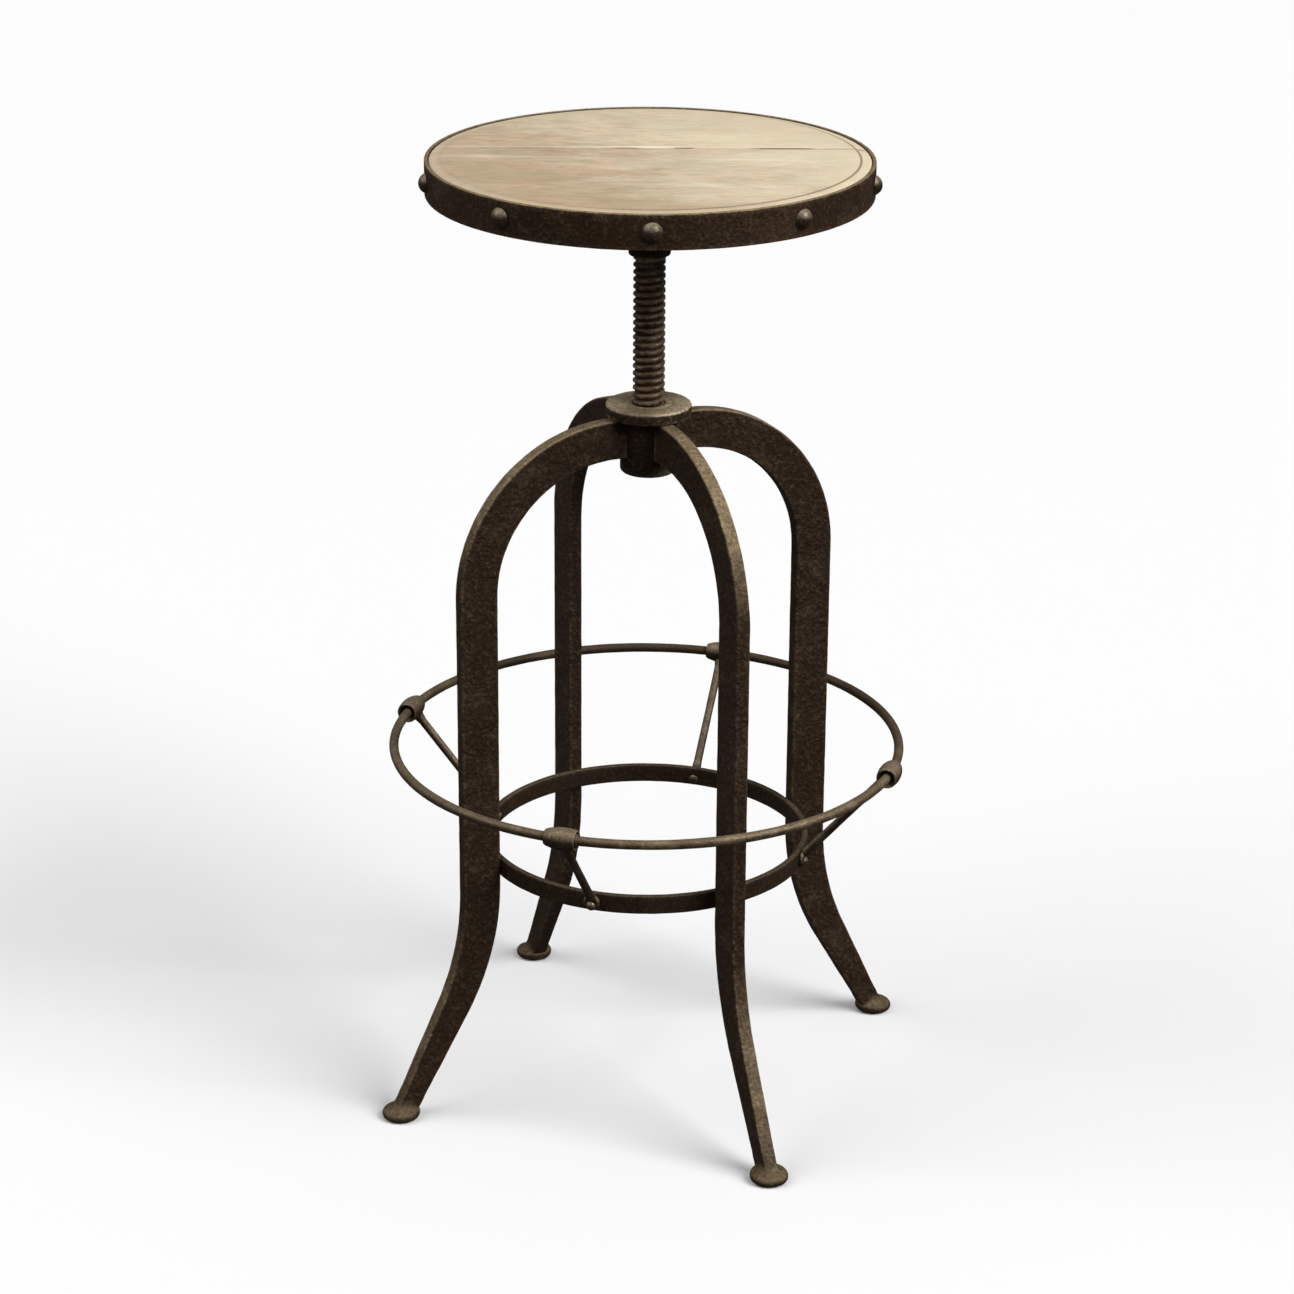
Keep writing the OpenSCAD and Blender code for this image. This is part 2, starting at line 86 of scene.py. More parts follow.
# %% [markdown]
# ## Floor and light
#
# Dark iron is hard to light. In an evenly white room it turns grey, because every side mirrors
# a white wall. A studio hangs its soft boxes high, so that faces which look up are bright and
# upright faces fall away into the dark. That contrast shows the roundness of the arches and
# rivets. Area lights near the stool would leave the far floor grey. So each soft box here is a
# sun lamp with a wide disc: it has a soft box's blurred shadow, and lights the floor evenly.
# The strong box stands on the right, a weaker one on the left, and a faint one high up.
#
# White paper under the stool would throw light back up at the iron and grey it. The floor is
# therefore hidden from the rays that light and mirror in the stool, and only catches shadows.

# %% Floor and soft boxes
bpy.context.scene.view_settings.view_transform = "Standard"


def deselect_everything():
    if bpy.context.object and bpy.context.object.mode != "OBJECT":
        bpy.ops.object.mode_set(mode="OBJECT")
    bpy.ops.object.select_all(action="DESELECT")


def soft_box(name, azimuth, height, width, power):
    """A wide sun; azimuth and height say where it stands, and width is its disc, in degrees."""
    light = bpy.data.lights.new(name, "SUN")
    light.angle = math.radians(width)
    light.energy = power
    lamp = bpy.data.objects.new(name, light)
    lamp.rotation_euler = (0, math.radians(90 - height), math.radians(azimuth))
    bpy.context.scene.collection.objects.link(lamp)


soft_box("right_box", -12, 38, 40, 3.0)
soft_box("left_box", -148, 40, 50, 1.25)
soft_box("top_box", -60, 78, 70, 0.65)

room = bpy.data.worlds.new("dim_room")
room.use_nodes = True
background = room.node_tree.nodes["Background"]
background.inputs["Color"].default_value = (1, 1, 1, 1)
background.inputs["Strength"].default_value = 0.09
bpy.context.scene.world = room

deselect_everything()
bpy.ops.mesh.primitive_plane_add(size=400, location=(0, 0, -0.0005))
floor = bpy.context.object
floor.name = "floor"
paper = bpy.data.materials.new("pale_paper")
paper.use_nodes = True
paper_shader = paper.node_tree.nodes["Principled BSDF"]
paper_shader.inputs["Base Color"].default_value = (0.88, 0.88, 0.88, 1)
paper_shader.inputs["Roughness"].default_value = 0.9
floor.data.materials.append(paper)
floor.visible_diffuse = False
floor.visible_glossy = False

# %% [markdown]
# ## Node helpers
#
# Each finish below is a small tree of nodes. A few helpers keep the trees short: they add a
# node and fill in its values or links, do a sum, mix two colours or stretch a value. The last
# one starts a shader group with named sockets, for the effects that several finishes share.

# %% Node helpers
def add_node(tree, kind, **values):
    """Adds a node; a value may be a number, a colour, or another node's output to link from."""
    node = tree.nodes.new(kind)
    for name, value in values.items():
        socket = node.inputs.get(name.replace("_", " "))
        if socket is None:
            setattr(node, name, value)
        elif isinstance(value, bpy.types.NodeSocket):
            tree.links.new(value, socket)
        else:
            socket.default_value = value
    return node


def feed(tree, sockets, values):
    """Fills each socket with its value, or links it from the output given as its value."""
    for socket, value in zip(sockets, values):
        if isinstance(value, bpy.types.NodeSocket):
            tree.links.new(value, socket)
        else:
            socket.default_value = value


def math_node(tree, operation, first, second=0.0, clamp=False):
    node = tree.nodes.new("ShaderNodeMath")
    node.operation = operation
    node.use_clamp = clamp
    feed(tree, node.inputs, (first, second))
    return node.outputs[0]


def times(tree, first, second):
    return math_node(tree, "MULTIPLY", first, second)


def plus(tree, first, second):
    return math_node(tree, "ADD", first, second)


def distance(tree, value, from_value):
    """How far a value is from another, on either side."""
    return math_node(tree, "ABSOLUTE", math_node(tree, "SUBTRACT", value, from_value))


def mix_colour(tree, share, below, above):
    node = tree.nodes.new("ShaderNodeMix")
    node.data_type = "RGBA"
    feed(tree, (node.inputs[0], node.inputs[6], node.inputs[7]), (share, below, above))
    return node.outputs[2]


def spread(tree, value, low, high, to_low=0.0, to_high=1.0):
    """Maps the part low..high of a value to to_low..to_high, and clamps the rest."""
    node = add_node(
        tree, "ShaderNodeMapRange",
        Value=value, From_Min=low, From_Max=high, To_Min=to_low, To_Max=to_high,
    )
    return node.outputs["Result"]


def noise(tree, place, scale, detail, roughness=0.5, distortion=0.0):
    node = add_node(
        tree, "ShaderNodeTexNoise",
        Vector=place, Scale=scale, Detail=detail, Roughness=roughness, Distortion=distortion,
    )
    return node.outputs["Fac"]


def new_group(name, inputs, outputs):
    """Starts a shader group; inputs and outputs are {socket name: socket type}."""
    group = bpy.data.node_groups.new(name, "ShaderNodeTree")
    for label, kind in inputs.items():
        group.interface.new_socket(label, in_out="INPUT", socket_type=kind)
    for label, kind in outputs.items():
        group.interface.new_socket(label, in_out="OUTPUT", socket_type=kind)
    start = group.nodes.new("NodeGroupInput")
    end = group.nodes.new("NodeGroupOutput")
    return group, start, end


NUMBER = "NodeSocketFloat"
VECTOR = "NodeSocketVector"
print("node helpers ready")

# %% [markdown]
# ## A shared effect: the cast skin
#
# Iron that was cast in sand and then hammered has a skin with several scales: broad shallow
# waves, pebbles and pocks of a few millimetres, and fine grit. A single noise looks like
# plastic. The group adds patterns of different size into one height. It gives the pebbles as
# two masks too: pits hold grime and stay dark, and the crowns between them wear bright, their
# lighter colour also a painted glint.

# %% Group: cast skin
def make_cast_skin():
    group, start, end = new_group(
        "cast_skin",
        {"Vector": VECTOR, "Pebble Scale": NUMBER},
        {"Height": NUMBER, "Pits": NUMBER, "Crowns": NUMBER},
    )
    place = start.outputs["Vector"]
    scale = start.outputs["Pebble Scale"]
    pebbles = noise(group, place, scale, 3.0, 0.6)
    pocks = add_node(group, "ShaderNodeTexVoronoi", Vector=place, Scale=times(group, scale, 0.8))
    shares = (
        (noise(group, place, 70.0, 2.0), 0.9),
        (pebbles, 1.0),
        (spread(group, pocks.outputs["Distance"], 0.05, 0.45), 0.25),
        (noise(group, place, 2600.0, 2.0), 0.18),
    )
    height = 0.0
    for pattern, share in shares:
        height = plus(group, height, times(group, pattern, share))
    group.links.new(height, end.inputs["Height"])
    group.links.new(spread(group, pebbles, 0.38, 0.62, 1.0, 0.0), end.inputs["Pits"])
    group.links.new(spread(group, pebbles, 0.56, 0.72), end.inputs["Crowns"])
    return group


cast_skin = make_cast_skin()
print("group", cast_skin.name, [s.name for s in cast_skin.interface.items_tree])

# %% [markdown]
# ## A shared effect: edge wear and painted top light
#
# Hands, cloths and shoes wear iron bright where it stands out, along its edges. Faces that look
# up are lightened too, as painted top light that stands in for light from above. Edges could be
# painted by hand, but a formula follows every piece. Pointiness is high where the mesh folds
# outwards, and the normal says which faces look up. Both are broken up with noise, because no
# real edge wears evenly.

# %% Group: edge wear and painted top light
def make_rub_and_top_light():
    group, start, end = new_group(
        "rub_and_top_light",
        {"Vector": VECTOR, "Edge": NUMBER, "Top": NUMBER, "Patches": NUMBER},
        {"Mask": NUMBER},
    )
    place = start.outputs["Vector"]
    geometry = group.nodes.new("ShaderNodeNewGeometry")
    folds = spread(group, geometry.outputs["Pointiness"], 0.505, 0.56)
    broken = spread(group, noise(group, place, 110.0, 6.0, 0.7), 0.38, 0.62)
    edges = times(group, times(group, folds, broken), start.outputs["Edge"])
    # Painted top light: faces whose normal looks up are lightened, as light from above would make them.
    upward = add_node(group, "ShaderNodeSeparateXYZ", Vector=geometry.outputs["Normal"])
    clouds = spread(group, noise(group, place, 45.0, 5.0, 0.65), 0.35, 0.65)
    lit_tops = times(group, spread(group, upward.outputs["Z"], 0.1, 0.8), spread(group, clouds, 0, 1, 0.6, 1))
    lit_tops = times(group, lit_tops, start.outputs["Top"])
    patches = times(group, spread(group, clouds, 0.6, 1.0), start.outputs["Patches"])
    total = math_node(group, "ADD", plus(group, edges, lit_tops), patches, clamp=True)
    group.links.new(total, end.inputs["Mask"])
    return group


rub_and_top_light = make_rub_and_top_light()
print("group", rub_and_top_light.name, [s.name for s in rub_and_top_light.interface.items_tree])

# %% [markdown]
# ## The iron finishes
#
# All the iron of the stool has one build-up: a brown-black oxide, redder in places, with bare
# pale brown metal where rubbing has reached it. The same pale colour is also laid on faces that
# look up, as painted top light. The finishes differ in how coarse the skin is, how far the
# rubbing went, how much top light is painted in and how smooth the metal is. So one function
# builds the tree, and each finish is a few values: the legs and band are coarse and dark, the
# thread is oiled and brighter on its crests, and the foot ring is scuffed by shoes.
#
# Three gradients over the stool's own coordinates change this. Within 6 cm of the floor the
# wear and the painted top light fade, so the iron is darker there. The ring's back gets painted
# shade. And the hub's flange gets painted shade in a strip through its middle, in front of the
# screw and behind it, and is left bright at its sides.

# %% Iron finishes
def iron(
    name, dark, rust, bare, pebble, skin, edge, top, patches, rough, bare_rough,
    back_shade=0.0, front_shade=0.0,
):
    """An iron finish: three colours, the skin's scale and depth, shares of edge wear, painted top light
    and patches, two roughnesses, and how much painted shade falls on the back and in the middle."""
    material = bpy.data.materials.new(name)
    material.use_nodes = True
    tree = material.node_tree
    shader = tree.nodes["Principled BSDF"]
    place = tree.nodes.new("ShaderNodeTexCoord").outputs["Object"]
    skin_node = tree.nodes.new("ShaderNodeGroup")
    skin_node.node_tree = cast_skin
    rub_and_light_node = tree.nodes.new("ShaderNodeGroup")
    rub_and_light_node.node_tree = rub_and_top_light
    feed(tree, skin_node.inputs, (place, pebble))
    feed(tree, rub_and_light_node.inputs, (place, edge, top, patches))
    pits = skin_node.outputs["Pits"]
    stains = spread(tree, noise(tree, place, 26.0, 5.0, 0.6), 0.42, 0.66)
    colour = mix_colour(tree, stains, (*dark, 1), (*rust, 1))
    colour = mix_colour(tree, times(tree, pits, 0.6), colour, tuple(0.45 * c for c in dark) + (1,))
    # The mask mixes edge wear, patches and painted top light; it turns the colour towards the pale one.
    wear_and_top_light = times(tree, rub_and_light_node.outputs["Mask"], spread(tree, pits, 0, 1, 1, 0.55))
    # Pebble crowns are lightened: partly wear, partly a painted glint.
    crowns_and_glints = times(tree, skin_node.outputs["Crowns"], 0.10)
    wear_and_top_light = math_node(tree, "ADD", wear_and_top_light, crowns_and_glints, clamp=True)
    where = add_node(tree, "ShaderNodeSeparateXYZ", Vector=place)
    aside = math_node(tree, "ABSOLUTE", where.outputs["X"])
    # Darker towards the floor, where the wear and the painted top light fade; then painted shade on the
    # back, and in a strip through the middle.
    wear_and_top_light = times(tree, wear_and_top_light, spread(tree, where.outputs["Z"], 0.0, 0.06, 0.25, 1.0))
    wear_and_top_light = times(tree, wear_and_top_light, spread(tree, where.outputs["Y"], -0.05, 0.14, 1.0, 1.0 - back_shade))
    wear_and_top_light = times(tree, wear_and_top_light, spread(tree, aside, 0.008, 0.027, 1.0 - front_shade, 1.0))
    colour = mix_colour(tree, wear_and_top_light, colour, (*bare, 1))
    tree.links.new(colour, shader.inputs["Base Color"])
    tree.links.new(spread(tree, wear_and_top_light, 0, 1, rough, bare_rough), shader.inputs["Roughness"])
    tree.links.new(spread(tree, wear_and_top_light, 0, 1, 0.1, 0.45), shader.inputs["Metallic"])
    shader.inputs["Specular IOR Level"].default_value = 0.16
    bump = add_node(tree, "ShaderNodeBump", Strength=1.0, Distance=skin, Height=skin_node.outputs["Height"])
    tree.links.new(bump.outputs["Normal"], shader.inputs["Normal"])
    return material


# In each finish, top is the share of painted top light on faces that look up.
dark_iron = iron(
    "hammered_dark_iron",
    dark=(0.034, 0.0175, 0.0082), rust=(0.044, 0.0235, 0.0115), bare=(0.44, 0.33, 0.195),
    pebble=300.0, skin=0.0018, edge=0.40, top=1.0, patches=0.06, rough=0.52, bare_rough=0.40,
)
# Painted light and shade: a darker copy of the iron for the shaded hub, with a very light pale colour so
# that the flange's top shows bright through the painted top light.
hub_iron = iron(
    "hub_iron_with_painted_light",
    dark=(0.024, 0.0125, 0.006), rust=(0.036, 0.019, 0.0095), bare=(0.95, 0.77, 0.50),
    pebble=340.0, skin=0.00070, edge=0.60, top=1.0, patches=0.02, rough=0.54, bare_rough=0.38,
    front_shade=0.65,
)
# Painted shade: a darker copy of the iron with little painted top light, for the hoop inside the legs.
hoop_iron = iron(
    "hoop_iron_in_painted_shade",
    dark=(0.026, 0.0145, 0.0075), rust=(0.038, 0.021, 0.011), bare=(0.26, 0.20, 0.125),
    pebble=420.0, skin=0.00055, edge=0.25, top=0.35, patches=0.05, rough=0.60, bare_rough=0.46,
)
band_iron = iron(
    "seat_band_iron",
    dark=(0.034, 0.0175, 0.0082), rust=(0.058, 0.031, 0.0155), bare=(0.38, 0.285, 0.165),
    pebble=360.0, skin=0.0009, edge=0.70, top=1.0, patches=0.08, rough=0.52, bare_rough=0.42,
)
thread_iron = iron(
    "oiled_thread",
    dark=(0.026, 0.0135, 0.008), rust=(0.060, 0.024, 0.012), bare=(0.58, 0.43, 0.28),
    pebble=900.0, skin=0.00008, edge=1.0, top=0.30, patches=0.10, rough=0.36, bare_rough=0.24,
)
# The ring's back gets painted shade.
rod_iron = iron(
    "shoe_worn_rod",
    dark=(0.044, 0.027, 0.0145), rust=(0.066, 0.042, 0.023), bare=(0.32, 0.245, 0.15),
    pebble=600.0, skin=0.00025, edge=0.35, top=0.60, patches=0.30, rough=0.54, bare_rough=0.40,
    back_shade=0.75,
)
strut_iron = iron(
    "forged_strut_iron",
    dark=(0.030, 0.0175, 0.0095), rust=(0.046, 0.027, 0.015), bare=(0.40, 0.31, 0.20),
    pebble=480.0, skin=0.00040, edge=0.35, top=0.75, patches=0.08, rough=0.52, bare_rough=0.38,
)
# Painted highlight: the domes of the rivets and screws take painted top light, light on top and dark below.
dull_steel = iron(
    "dull_steel",
    dark=(0.026, 0.0155, 0.009), rust=(0.044, 0.026, 0.015), bare=(0.56, 0.46, 0.31),
    pebble=700.0, skin=0.00014, edge=0.25, top=0.65, patches=0.05, rough=0.34, bare_rough=0.26,
)
FINISHES = {
    "dark_iron": dark_iron,
    "screw_steel": thread_iron,
    "worn_rod": rod_iron,
    "plain_steel": dull_steel,
}
print("iron finishes", sorted(material.name for material in FINISHES.values()))

# %% [markdown]
# ## The wood finish
#
# The seat is old pale hardwood, dry and lightly waxed, glued up from two boards. Its grain runs
# along the boards, so every noise is stretched that way: a Mapping node turns the coordinates
# to the boards' own direction and squeezes them along it. Broad streaks give the colour, fine
# fibres give both colour and bump, and mottles, tints, flecks and specks break them up. One
# side is painted darker and the other lighter, as painted light and shade across the seat.
#
# The joint has opened in a few places along its length, and a pale painted highlight runs along
# part of the lip behind it. The line inside the eased border is darker on one side. The eased
# border is painted lighter as a highlight, and its outermost millimetre, against the band, darker
# as painted shade. All are drawn by distance from the joint and from the rim.

# %% Wood finish
SEAT_DEGREES = 19
SEAT_TURN = math.radians(SEAT_DEGREES)
BOARD_JOINT = 28 * MM
EASED_WIDTH = 9 * MM
GAPS = [
    # middle and half length of an open stretch of the joint, in metres, and how dark it is
    (-0.022, 0.010, 0.75),
    (0.028, 0.011, 0.9),
    (0.108, 0.026, 1.0),
    (0.158, 0.02, 0.5),
    (-0.11, 0.035, 0.3),
]
wood_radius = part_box("seat_band")[1].x - 3.15 * MM


def grain(tree, along, squeeze, scale, detail, roughness=0.55, distortion=0.0, low=0.0, high=1.0):
    """A noise stretched along the boards, with its part low..high spread to 0..1."""
    stretched = add_node(tree, "ShaderNodeMapping", Vector=along, Scale=(squeeze, 1, 1))
    value = noise(tree, stretched.outputs["Vector"], scale, detail, roughness, distortion)
    return spread(tree, value, low, high)


def wood_colour(tree, along, place, middle, mottle, fibres):
    """The colour of the bare boards, from the broadest pattern to the finest, with painted light and shade
    across the seat.
    """
    def tone(share, low, high, to_low, to_high, stain):
        return mix_colour(tree, spread(tree, share, low, high, to_low, to_high), colour, (*stain, 1))

    broad = grain(tree, along, 0.28, 30.0, 6.0, 0.68, 0.9, 0.34, 0.66)
    tint = grain(tree, along, 0.5, 48.0, 4.0, 0.7, 0.5, 0.40, 0.60)
    colour = mix_colour(tree, broad, (0.47, 0.35, 0.225, 1), (0.68, 0.57, 0.395, 1))
    colour = tone(middle, 0, 1, 0, 0.52, (0.46, 0.325, 0.205))
    colour = tone(mottle, 0, 1, 0.42, 0, (0.40, 0.305, 0.195))
    colour = tone(mottle, 0, 1, 0, 0.5, (0.72, 0.63, 0.47))
    colour = tone(tint, 0.0, 0.5, 0.44, 0.0, (0.47, 0.44, 0.28))
    colour = tone(tint, 0.5, 1.0, 0.0, 0.44, (0.72, 0.50, 0.35))
    colour = tone(fibres, 0.0, 0.45, 0.26, 0.0, (0.30, 0.20, 0.12))
    flecks = grain(tree, along, 0.25, 210.0, 3.0, 0.6, 0.3, 0.54, 0.68)
    colour = tone(flecks, 0, 1, 0, 0.42, (0.34, 0.23, 0.14))
    specks = grain(tree, along, 0.3, 190.0, 4.0, 0.7, 0.2, 0.56, 0.68)
    colour = tone(specks, 0, 1, 0, 0.42, (0.84, 0.76, 0.58))
    bleached = grain(tree, along, 0.07, 50.0, 3.0, 0.5, 0.3, 0.60, 0.70)
    colour = tone(bleached, 0, 1, 0, 0.5, (0.86, 0.79, 0.62))

    # Painted light and shade: the seat is darker to one side and lighter to the other, as light falls
    # across it.
    blotches = grain(tree, along, 0.55, 13.0, 5.0, 0.62, 1.2, 0.38, 0.62)
    side = add_node(tree, "ShaderNodeSeparateXYZ", Vector=place)
    across = plus(tree, side.outputs["X"], times(tree, side.outputs["Y"], 1.3))
    painted_side_light = spread(tree, plus(tree, across, times(tree, blotches, 0.16)), -0.14, 0.26)
    colour = tone(painted_side_light, 0.0, 0.62, 0.46, 0.0, (0.40, 0.275, 0.165))
    colour = tone(painted_side_light, 0.3, 0.9, 0.0, 0.6, (0.84, 0.74, 0.53))
    return colour, side


def make_wood():
    material = bpy.data.materials.new("dry_waxed_wood")
    material.use_nodes = True
    tree = material.node_tree
    shader = tree.nodes["Principled BSDF"]
    place = tree.nodes.new("ShaderNodeTexCoord").outputs["Object"]
    turned_to = add_node(
        tree, "ShaderNodeMapping", vector_type="TEXTURE", Vector=place, Rotation=(0, 0, SEAT_TURN)
    )
    along = turned_to.outputs["Vector"]
    middle = grain(tree, along, 0.11, 165.0, 5.0, 0.7, 0.4, 0.38, 0.62)
    fibres = grain(tree, along, 0.02, 620.0, 4.0, 0.7, 0.0, 0.30, 0.72)
    mottle = grain(tree, along, 0.42, 75.0, 7.0, 0.78, 0.8, 0.40, 0.60)
    colour, side = wood_colour(tree, along, place, middle, mottle, fibres)

    axes = add_node(tree, "ShaderNodeSeparateXYZ", Vector=along)
    off_joint = distance(tree, axes.outputs["Y"], BOARD_JOINT)
    frayed = times(tree, math_node(tree, "SUBTRACT", mottle, 0.5), 0.012)
    along_x = plus(tree, axes.outputs["X"], frayed)
    opened = 0.10
    for middle_x, half, dark in GAPS:
        gap = spread(tree, distance(tree, along_x, middle_x), half * 0.7, half * 1.3, dark, 0.0)
        opened = math_node(tree, "MAXIMUM", gap, opened)
    joint = times(tree, spread(tree, off_joint, 0.0010, 0.0030, 1.0, 0.0), opened)

    flat = add_node(tree, "ShaderNodeCombineXYZ", X=axes.outputs["X"], Y=axes.outputs["Y"])
    length = tree.nodes.new("ShaderNodeVectorMath")
    length.operation = "LENGTH"
    tree.links.new(flat.outputs[0], length.inputs[0])
    reach = length.outputs["Value"]
    line = spread(tree, distance(tree, reach, wood_radius - EASED_WIDTH), 0.0004, 0.0015, 0.8, 0.0)
    line = times(tree, line, spread(tree, side.outputs["X"], -0.09, 0.07, 0.0, 1.0))
    # Painted shade: the last 1.2 mm of the wood, against the band, is darkened.
    edge_shade = spread(tree, reach, wood_radius - 1.2 * MM, wood_radius, 0.0, 0.8)
    # Painted highlight: the eased border is lightened towards the rim.
    border_highlight = spread(tree, reach, wood_radius - EASED_WIDTH, wood_radius - 4 * MM, 0.0, 0.35)
    colour = mix_colour(tree, border_highlight, colour, (0.74, 0.63, 0.45, 1))
    # Painted highlight: a pale strip just behind the joint, along part of its length.
    off_highlight_line = distance(tree, axes.outputs["Y"], BOARD_JOINT + 3.4 * MM)
    highlight_reach = spread(tree, distance(tree, along_x, -0.006), 0.012, 0.04, 1.0, 0.22)
    lip = times(tree, spread(tree, off_highlight_line, 0.0012, 0.0034, 1.0, 0.0), highlight_reach)
    colour = mix_colour(tree, lip, colour, (0.95, 0.86, 0.68, 1))
    # The open joint, the darker border line and the painted edge shade darken the colour together.
    joint_line_and_edge_shade = math_node(tree, "MAXIMUM", math_node(tree, "MAXIMUM", joint, line), edge_shade)
    colour = mix_colour(tree, joint_line_and_edge_shade, colour, (0.20, 0.12, 0.065, 1))
    # Painted shade: the front and back of the seat are a little darker.
    far_off = math_node(tree, "ABSOLUTE", side.outputs["Y"])
    colour = mix_colour(tree, spread(tree, far_off, 0.05, 0.17, 0.0, 0.22), colour, (0.44, 0.33, 0.21, 1))
    tree.links.new(colour, shader.inputs["Base Color"])
    tree.links.new(spread(tree, middle, 0, 1, 0.50, 0.66), shader.inputs["Roughness"])
    shader.inputs["Specular IOR Level"].default_value = 0.35
    height = plus(tree, times(tree, fibres, 0.6), times(tree, middle, 0.8))
    height = plus(tree, height, times(tree, mottle, 0.5))
    bump = add_node(tree, "ShaderNodeBump", Strength=1.0, Distance=0.00016, Height=height)
    tree.links.new(bump.outputs["Normal"], shader.inputs["Normal"])
    return material


FINISHES["seat_wood"] = make_wood()
print("wood finish", FINISHES["seat_wood"].name)

# %% [markdown]
# ## Modelling helpers
#
# New pieces are made with the same operators as by hand. Turned pieces, such as the hub or a
# rivet, start as a chain of points in the XZ plane, which is spun round the Z axis, as on a
# lathe. Small arcs in the chain round the corners. Selecting in code is done by place: a test
# looks at each face's or edge's middle.

# %% Modelling helpers
def choose(piece):
    """Makes one piece the only one selected, and active."""
    deselect_everything()
    bpy.context.view_layer.objects.active = piece
    piece.select_set(True)


def edit(piece, kind="FACE"):
    """Enters edit mode on one piece with nothing selected."""
    choose(piece)
    bpy.ops.object.mode_set(mode="EDIT")
    bpy.ops.mesh.select_mode(type=kind)
    bpy.ops.mesh.select_all(action="DESELECT")


def middle_of(points):
    return sum(points, Vector()) / len(points)


def pick(piece, test, kind="faces"):
    """Adds to the selection what passes the test; a face or edge is tested by its middle."""
    mesh = bmesh.from_edit_mesh(piece.data)
    found = 0
    for part in getattr(mesh, kind):
        middle = part.co if kind == "verts" else middle_of([v.co for v in part.verts])
        if test(middle):
            part.select_set(True)
            found += 1
    mesh.select_flush_mode()
    bmesh.update_edit_mesh(piece.data)
    return found


def leave():
    bpy.ops.object.mode_set(mode="OBJECT")


def name_it(name):
    piece = bpy.context.object
    piece.name = piece.data.name = name
    return piece


def settle():
    """Puts the active piece's place, turn and scale into its mesh."""
    bpy.ops.object.transform_apply(location=True, rotation=True, scale=True)


def modify(piece, kind, **values):
    """Adds a modifier, sets it up and applies it at once."""
    choose(piece)
    step = piece.modifiers.new(kind.lower(), kind)
    for name, value in values.items():
        setattr(step, name, value)
    bpy.ops.object.modifier_apply(modifier=step.name)


def hammer(piece, wave, depth):
    """Moves the surface in and out by a cloud pattern, as a hammer and a mould leave it."""
    pattern = bpy.data.textures.new("clouds", "CLOUDS")
    pattern.noise_scale = wave
    pattern.noise_depth = 2
    modify(piece, "DISPLACE", texture=pattern, texture_coords="LOCAL", strength=depth, mid_level=0.5)


def arc(centre_r, centre_z, radius, start, stop, steps):
    """Points on an arc in the lathe's plane, from start to stop degrees."""
    angles = [math.radians(start + (stop - start) * i / steps) for i in range(steps + 1)]
    return [(centre_r + radius * math.cos(a), centre_z + radius * math.sin(a)) for a in angles]


def block(name, location, size):
    """A rough block to cut or build with, never a finished piece."""
    deselect_everything()
    bpy.ops.mesh.primitive_cube_add(size=1, location=location, scale=size)
    piece = name_it(name)
    settle()
    return piece


def chain(name, outline):
    """A chain of edges through (radius, height) points in the XZ plane; stays in edit mode."""
    deselect_everything()
    bpy.ops.mesh.primitive_plane_add(size=MM, location=(outline[0][0], 0, outline[0][1]))
    piece = name_it(name)
    settle()
    edit(piece, "VERT")
    bpy.ops.mesh.select_all(action="SELECT")
    bpy.ops.mesh.merge(type="CENTER")
    for (r0, z0), (r1, z1) in zip(outline, outline[1:]):
        bpy.ops.mesh.extrude_region_move(TRANSFORM_OT_translate={"value": (r1 - r0, 0, z1 - z0)})
    return piece


def turned(name, outline, steps=96, angle=2 * math.pi):
    """Spins a chain of (radius, height) points round the Z axis."""
    piece = chain(name, outline)
    bpy.ops.mesh.select_all(action="SELECT")
    bpy.ops.mesh.spin(steps=steps, angle=angle, center=(0, 0, 0), axis=(0, 0, 1))
    bpy.ops.mesh.select_all(action="SELECT")
    bpy.ops.mesh.remove_doubles(threshold=0.002 * MM)
    bpy.ops.mesh.normals_make_consistent(inside=False)
    leave()
    return piece


def place(piece, turns=(), shift=(0, 0, 0)):
    """Turns a piece's mesh about the world's axes, in order, and then shifts it."""
    matrix = Matrix.Translation(shift)
    for axis, degrees in reversed(turns):
        matrix = matrix @ Matrix.Rotation(math.radians(degrees), 4, axis)
    piece.matrix_world = matrix
    choose(piece)
    settle()
    return piece


def twin(piece, name):
    """A copy of a piece with its own mesh."""
    choose(piece)
    bpy.ops.object.duplicate(linked=False)
    return name_it(name)


def copies_around(piece, count, name):
    """Copies a piece round the Z axis; returns the piece and its copies."""
    copies = [place(twin(piece, f"{name}_{i}"), [("Z", i * 360 / count)]) for i in range(1, count)]
    return [piece] + copies


def join(pieces, name):
    """Joins pieces into the first one."""
    deselect_everything()
    for piece in pieces:
        piece.select_set(True)
    bpy.context.view_layer.objects.active = pieces[0]
    bpy.ops.object.join()
    return name_it(name)


def finish(piece, node, body, slot, material=None, angle=35):
    """Smooths, paints and hands a finished piece to the frame."""
    choose(piece)
    bpy.ops.object.shade_smooth_by_angle(angle=math.radians(angle))
    piece.data.materials.clear()
    piece.data.materials.append(material or FINISHES[slot])
    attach(piece, body)
    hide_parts(node)
    print(f"{node}: {len(piece.data.vertices)} points, {len(piece.data.polygons)} faces")


print("modelling helpers ready")

# %% [markdown]
# ## The two seat boards
#
# The seat is one disc of wood in two boards. It is turned as a whole, with a fine groove where
# the flat top ends and a border that eases down to the band. A thin saw line divides it, just
# as the glued joint shows as a fine line on the real seat: the disc is bisected at the joint,
# and the two lips of the cut are bevelled so that they catch the light.

